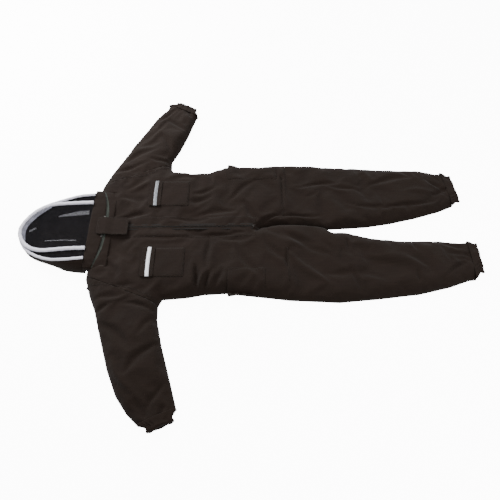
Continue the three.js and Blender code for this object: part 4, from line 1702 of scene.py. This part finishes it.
@dataclass
class Neck:
    """Band, zip tapes, teeth, collar and the chin tab that covers the zip's ends."""

    sewing: Sewing
    tab_thickness: float = 2.0 * MM
    tab_start: float = -626.0
    tab_bend: float = -594.0
    teeth: int = 170

    def build(self) -> None:
        """Makes the neck's pieces."""
        rings = (
            NeckRing("hood_neck_band", Slot.suit_cloth, "hood", (-656, -656), (-598, -626), 1.4),
            NeckRing("hood_zip_tape_upper", Slot.zip_tape, "hood", (-599, -627), (-596, -626.5), 0.2),
            NeckRing("hood_zip_tape_lower", Slot.zip_tape, "suit", (-595, -626), (-585, -623.5), 0.2),
            NeckRing("collar", Slot.suit_cloth, "suit", (-586, -624), (-566, -566), 1.2, 195.0),
        )
        for ring in rings:
            self.sewing.ground.add(ring.build())
        self._teeth(rings[2])
        for side in Side:
            SliderAndPull(f"hood_zip_slider_{side.word}", f"hood_zip_pull_{side.word}",
                          f"hood_zip_slider_{side.word}", Vector((0, side.value, 0))).build()
        self._tab()

    def _teeth(self, ring: NeckRing) -> None:
        """The row of teeth between the two tapes."""
        bm = bmesh.new()
        bevelled_block(bm, Vector(), Vector((3.2 * MM, 1.4 * MM, 1.3 * MM)), 0.3 * MM)
        lifted = Vector((0, 0, 0.7 * MM))
        shares = (0.03 + 0.44 * number / (self.teeth - 1) for number in range(self.teeth))
        places = [Matrix.Translation(ring.point(share, 0.0) + lifted) for share in shares]
        dress(stamped("hood_zip_teeth", bm, places), Slot.zip_chain, "suit")

    def _tab_height(self, spot: Vector) -> float:
        """The height of the tab's upper side."""
        low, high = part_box("chin_tab")
        x = suit_mm(spot)[0]
        share = eased(clamped((x - self.tab_bend) / 38))
        droop = 0.5 * MM * math.sin(suit_mm(spot)[1] * 0.06 + 0.4)
        return high.z + (low.z + self.tab_thickness - high.z) * share + droop * 0.6

    def _tab(self) -> None:
        """The chin tab with its stitching and its two fastening patches."""
        low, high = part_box("chin_tab")

        def place(u: float, v: float) -> Vector:
            """A point of the tab."""
            start = Vector((LAY.at(self.tab_start, 0).x, low.y, 0))
            spot = rounded_rectangle(u, v, start, high, 12 * MM, 1.0 * MM)
            spot.z = self._tab_height(spot)
            return spot

        piece = make_object("chin_tab_cloth", mapped_grid(40, 26, place))
        smoothed(piece)
        thicken(piece, self.tab_thickness)
        dress(piece, Slot.suit_cloth, "chin_tab", ["chin_tab"])
        a, b = (self.tab_start, suit_mm(low)[1]), suit_mm(high)
        self.sewing.rows("chin_tab_stitches", [(corners(a, b, 4.0), 0.0), (corners(a, b, 9.5), 0.0)],
                         "chin_tab", self._tab_height)
        for node, body in (("loop_patch", "suit"), ("hook_patch", "chin_tab")):
            start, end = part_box(node)
            bm = bmesh.new()
            bevelled_block(bm, (start + end) / 2, end - start, 0.6 * MM)
            bmesh.ops.subdivide_edges(bm, edges=bm.edges, cuts=3, use_grid_fill=True)
            dress(make_object(f"{node}_pile", bm), Slot.dark_trim, body, [node])


# ---------------------------------------------------------------- cuffs


# Which way each cuff's mouth faces in plan, and its width over all in millimetres.
CUFF_SHAPES = {
    ("wrist", Side.RIGHT): ((0.4, -0.916), 100),
    ("wrist", Side.LEFT): ((0.47, 0.883), 112),
    ("ankle", Side.RIGHT): ((1.0, 0.0), 142),
    ("ankle", Side.LEFT): ((0.994, 0.11), 150),
}


@dataclass
class GatheredCuff:
    """The gathered end of a sleeve or leg, with its elastic."""

    limb: str
    side: Side
    loft: float = 26 * MM
    pleats: int = 17

    def _ends(self) -> tuple[Vector, Vector]:
        """The middle of the mouth and the direction towards it, read from the cuff's node."""
        node = frame["nodes"][f"{self.limb}_cuff_{self.side.word}"]
        co = np.array([v.co for v in node.data.vertices])
        middle = (co.min(0) + co.max(0)) / 2
        out = Vector((*CUFF_SHAPES[self.limb, self.side][0], 0)).normalized()
        return Vector((middle[0], middle[1], 0)) + out * 17 * MM, out

    def _seam(self, mouth: Vector, out: Vector) -> tuple[float, float]:
        """Where the panel's two sides end across the seam, measured from the middle of the mouth."""
        across = Vector((-out.y, out.x, 0))
        panel = "sleeve_back" if self.limb == "wrist" else "back_panel"
        node = frame["nodes"][f"{panel}_{self.side.word}"]
        runs = [((v.co - mouth).dot(out), (v.co - mouth).dot(across)) for v in node.data.vertices]
        ends = [side for run, side in runs if run > -40 * MM and abs(side) < 120 * MM]
        return min(ends), max(ends)

    def build(self) -> None:
        """Makes the cloth and the elastic inside it."""
        mouth, out = self._ends()
        across = Vector((-out.y, out.x, 0))
        half = CUFF_SHAPES[self.limb, self.side][1] * MM / 2
        seed = half * 900 + self.side.value
        seam_low, seam_high = self._seam(mouth, out)

        def skin(u: float, v: float, inset: float = 0.0, start: float = -40 * MM,
                 end: float = 1 * MM) -> Vector:
            """A point of the cuff."""
            angle = 2 * math.pi * u
            c, s = math.cos(angle), math.sin(angle)
            run = start + (end - start) * v
            waist = math.exp(-((run + 15 * MM) / (11 * MM)) ** 2)
            near = eased(1 - clamped((run + 38 * MM) / (24 * MM)))
            mouth_fall = clamped((run + 8 * MM) / (9 * MM)) ** 2
            squeeze = 1 - 0.07 * waist - 0.01 * (1 + math.sin(run * 400))
            depth = 0.6 + 1.6 * clamped((run + 44 * MM) / (20 * MM))
            fold = math.sin(angle * self.pleats + 3 * math.sin(angle * 3 + seed) + run * 30)
            lump = 2.4 * math.sin(angle * 5 + seed) * (0.5 + v)
            wide = half * (squeeze - 0.08 * mouth_fall) - inset
            wide += ((seam_high - seam_low) / 2 * 0.985 - wide) * near
            middle = (seam_high + seam_low) / 2 * near
            tall = self.loft / 2 * (1 - 0.10 * waist - 0.45 * mouth_fall) - inset
            y = signed_power(c, 0.7) * wide
            z = signed_power(s, 0.62) * tall
            push = (fold * depth * 0.55 + lump * 0.5) * MM * (0 if inset else 1)
            scallop = 1.4 * MM * math.sin(angle * 7 + seed) * v
            spot = mouth + out * (run + scallop) + across * (y + middle + c * push * 0.7)
            spot.z = max(self.loft / 2 * (1 - 0.3 * mouth_fall) + 1.6 * MM + z + s * push, 0.9 * MM)
            return spot

        name = f"{self.limb}_cuff_{self.side.word}"
        bm = mapped_grid(220, 16, skin)
        close_seam(bm)
        piece = make_object(f"{name}_gathers", bm)
        thicken(piece, 0.8 * MM)
        body = f"sleeve_{self.side.word}" if self.limb == "wrist" else "suit"
        dress(piece, Slot.suit_cloth, body, [name])
        cut_from(piece, 4.6 * half)
        node = f"{self.limb}_elastic_{self.side.word}"
        bm = mapped_grid(110, 6, lambda u, v: skin(u, v, 6.0 * MM, -27 * MM, -12 * MM))
        close_seam(bm)
        band = make_object(f"{node}_band", bm)
        thicken(band, 1.0 * MM)
        dress(band, Slot.elastic, body, [node])


# ---------------------------------------------------------------- seams on the cloth

ARMHOLE = ((-640, 262), (-590, 266), (-509, 270), (-461, 281), (-401, 307), (-356, 334))
SEAMS = {
    "right_armhole": Course(tuple((x, -y) for x, y in ARMHOLE)),
    "left_armhole": Course(ARMHOLE),
    "right_thigh": Course(((150, -104), (152, -180), (152, -257))),
    "left_thigh": Course(((139, 60), (140, 160), (141, 268))),
}


def sew_seams(sewing: Sewing) -> None:
    """The seams of the body and legs that show on the front."""
    for name, course in SEAMS.items():
        sewing.ribbon(f"{name}_seam", course, 9 * MM, 1.0 * MM)
        sewing.rows(f"{name}_seam_stitches", [(course, -2.6 * MM), (course, 2.6 * MM)],
                    height=lambda spot: sewing.ground.height(spot) + 0.7 * MM)


# ---------------------------------------------------------------- stage


@dataclass(frozen=True)
class Studio:
    """Pale floor, soft lights and the camera."""

    distance: float = 2.122
    height_angle: float = math.radians(57.5)
    swing: float = math.radians(0.79)
    roll: float = math.radians(-1.19)
    aim: tuple[float, float] = (0.0, -89.0)
    lens: float = 37.44
    floor_glow: float = 11.0
    sky: float = 0.8

    def build(self) -> None:
        """Makes everything round the suit."""
        self._floor()
        self._lights()
        self._camera()

    def _floor(self) -> None:
        """A wide pale floor, just below the suit."""
        bm = bmesh.new()
        bmesh.ops.create_grid(bm, x_segments=1, y_segments=1, size=12)
        floor = make_object("studio_floor", bm)
        floor.location.z = -0.4 * MM
        shader = Shader("pale_floor")
        shader.finish(base_color=(0.9, 0.9, 0.9, 1), roughness=0.9,
                      emission_color=(1, 1, 1, 1), emission_strength=self.floor_glow)
        floor.data.materials.append(shader.material)
        floor.visible_diffuse = False
        floor.visible_glossy = False

    def _lights(self) -> None:
        """A broad light from above and one from behind, with an even sky."""
        world = bpy.data.worlds.new("studio_air")
        world.use_nodes = True
        air = world.node_tree.nodes["Background"]
        air.inputs["Color"].default_value = (1, 1, 1, 1)
        air.inputs["Strength"].default_value = self.sky
        bpy.context.scene.world = world
        for name, place, size, power in (
            ("key", (-1.6, 1.5, 1.5), 1.2, 85), ("fill", (1.8, -0.8, 1.8), 1.6, 30),
        ):
            light = bpy.data.lights.new(name, "AREA")
            light.energy = power
            light.size = size
            lamp = bpy.data.objects.new(name, light)
            lamp.location = place
            lamp.rotation_euler = (-Vector(place)).to_track_quat("-Z", "Y").to_euler()
            bpy.context.scene.collection.objects.link(lamp)

    def _camera(self) -> None:
        """A camera high over the wearer's right side."""
        data = bpy.data.cameras.new("camera")
        data.lens = self.lens
        data.sensor_width = 36
        camera = bpy.data.objects.new("camera", data)
        target = LAY.at(*self.aim)
        flat = self.distance * math.cos(self.height_angle)
        camera.location = target + Vector((
            flat * math.sin(self.swing), -flat * math.cos(self.swing),
            self.distance * math.sin(self.height_angle),
        ))
        look = (target - camera.location).to_track_quat("-Z", "Y").to_matrix()
        camera.rotation_euler = (look @ Matrix.Rotation(self.roll, 3, "Z")).to_euler()
        bpy.context.scene.collection.objects.link(camera)
        bpy.context.scene.camera = camera


def dress_cad_nodes() -> None:
    """Gives every node that is still shown its slot's finish."""
    slots = {s["node"]: s["material_slot"] for s in frame["record"]["subparts"]}
    for name, node in frame["nodes"].items():
        node.data.materials.clear()
        node.data.materials.append(WARDROBE.get(Slot[slots[name]].value))


def main() -> None:
    """Builds the studio and the suit, piece by piece."""
    Studio().build()
    dress_cad_nodes()
    panels = [f"{kind}_{side.word}" for kind in ("back_panel", "sleeve_back") for side in Side]
    cuffs = [f"{limb}_cuff_{side.word}" for limb in ("wrist", "ankle") for side in Side]
    cloth = ClothPanels(Loft(panels, cuffs))
    cloth.build()
    ground = Ground()
    for piece in cloth.tops.values():
        ground.add(piece)
    sewing = Sewing(ground)
    for side in Side:
        for limb in ("wrist", "ankle"):
            GatheredCuff(limb, side).build()
    sew_seams(sewing)
    FrontZip(sewing).build()
    Neck(sewing).build()
    for side in Side:
        chest, hip = f"chest_pocket_{side.word}", f"hip_pocket_{side.word}"
        PatchPocket(chest, sewing, CHEST_ROOM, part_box(chest)[1].z - 2.2 * MM).build()
        PatchPocket(hip, sewing, HIP_ROOM, reach=HIP_REACH[side], corner=HIP_CORNER[side]).build()
        ChestFlap(side, sewing).build()
    Hood(sewing).build()


if __name__ == "__main__":
    main()
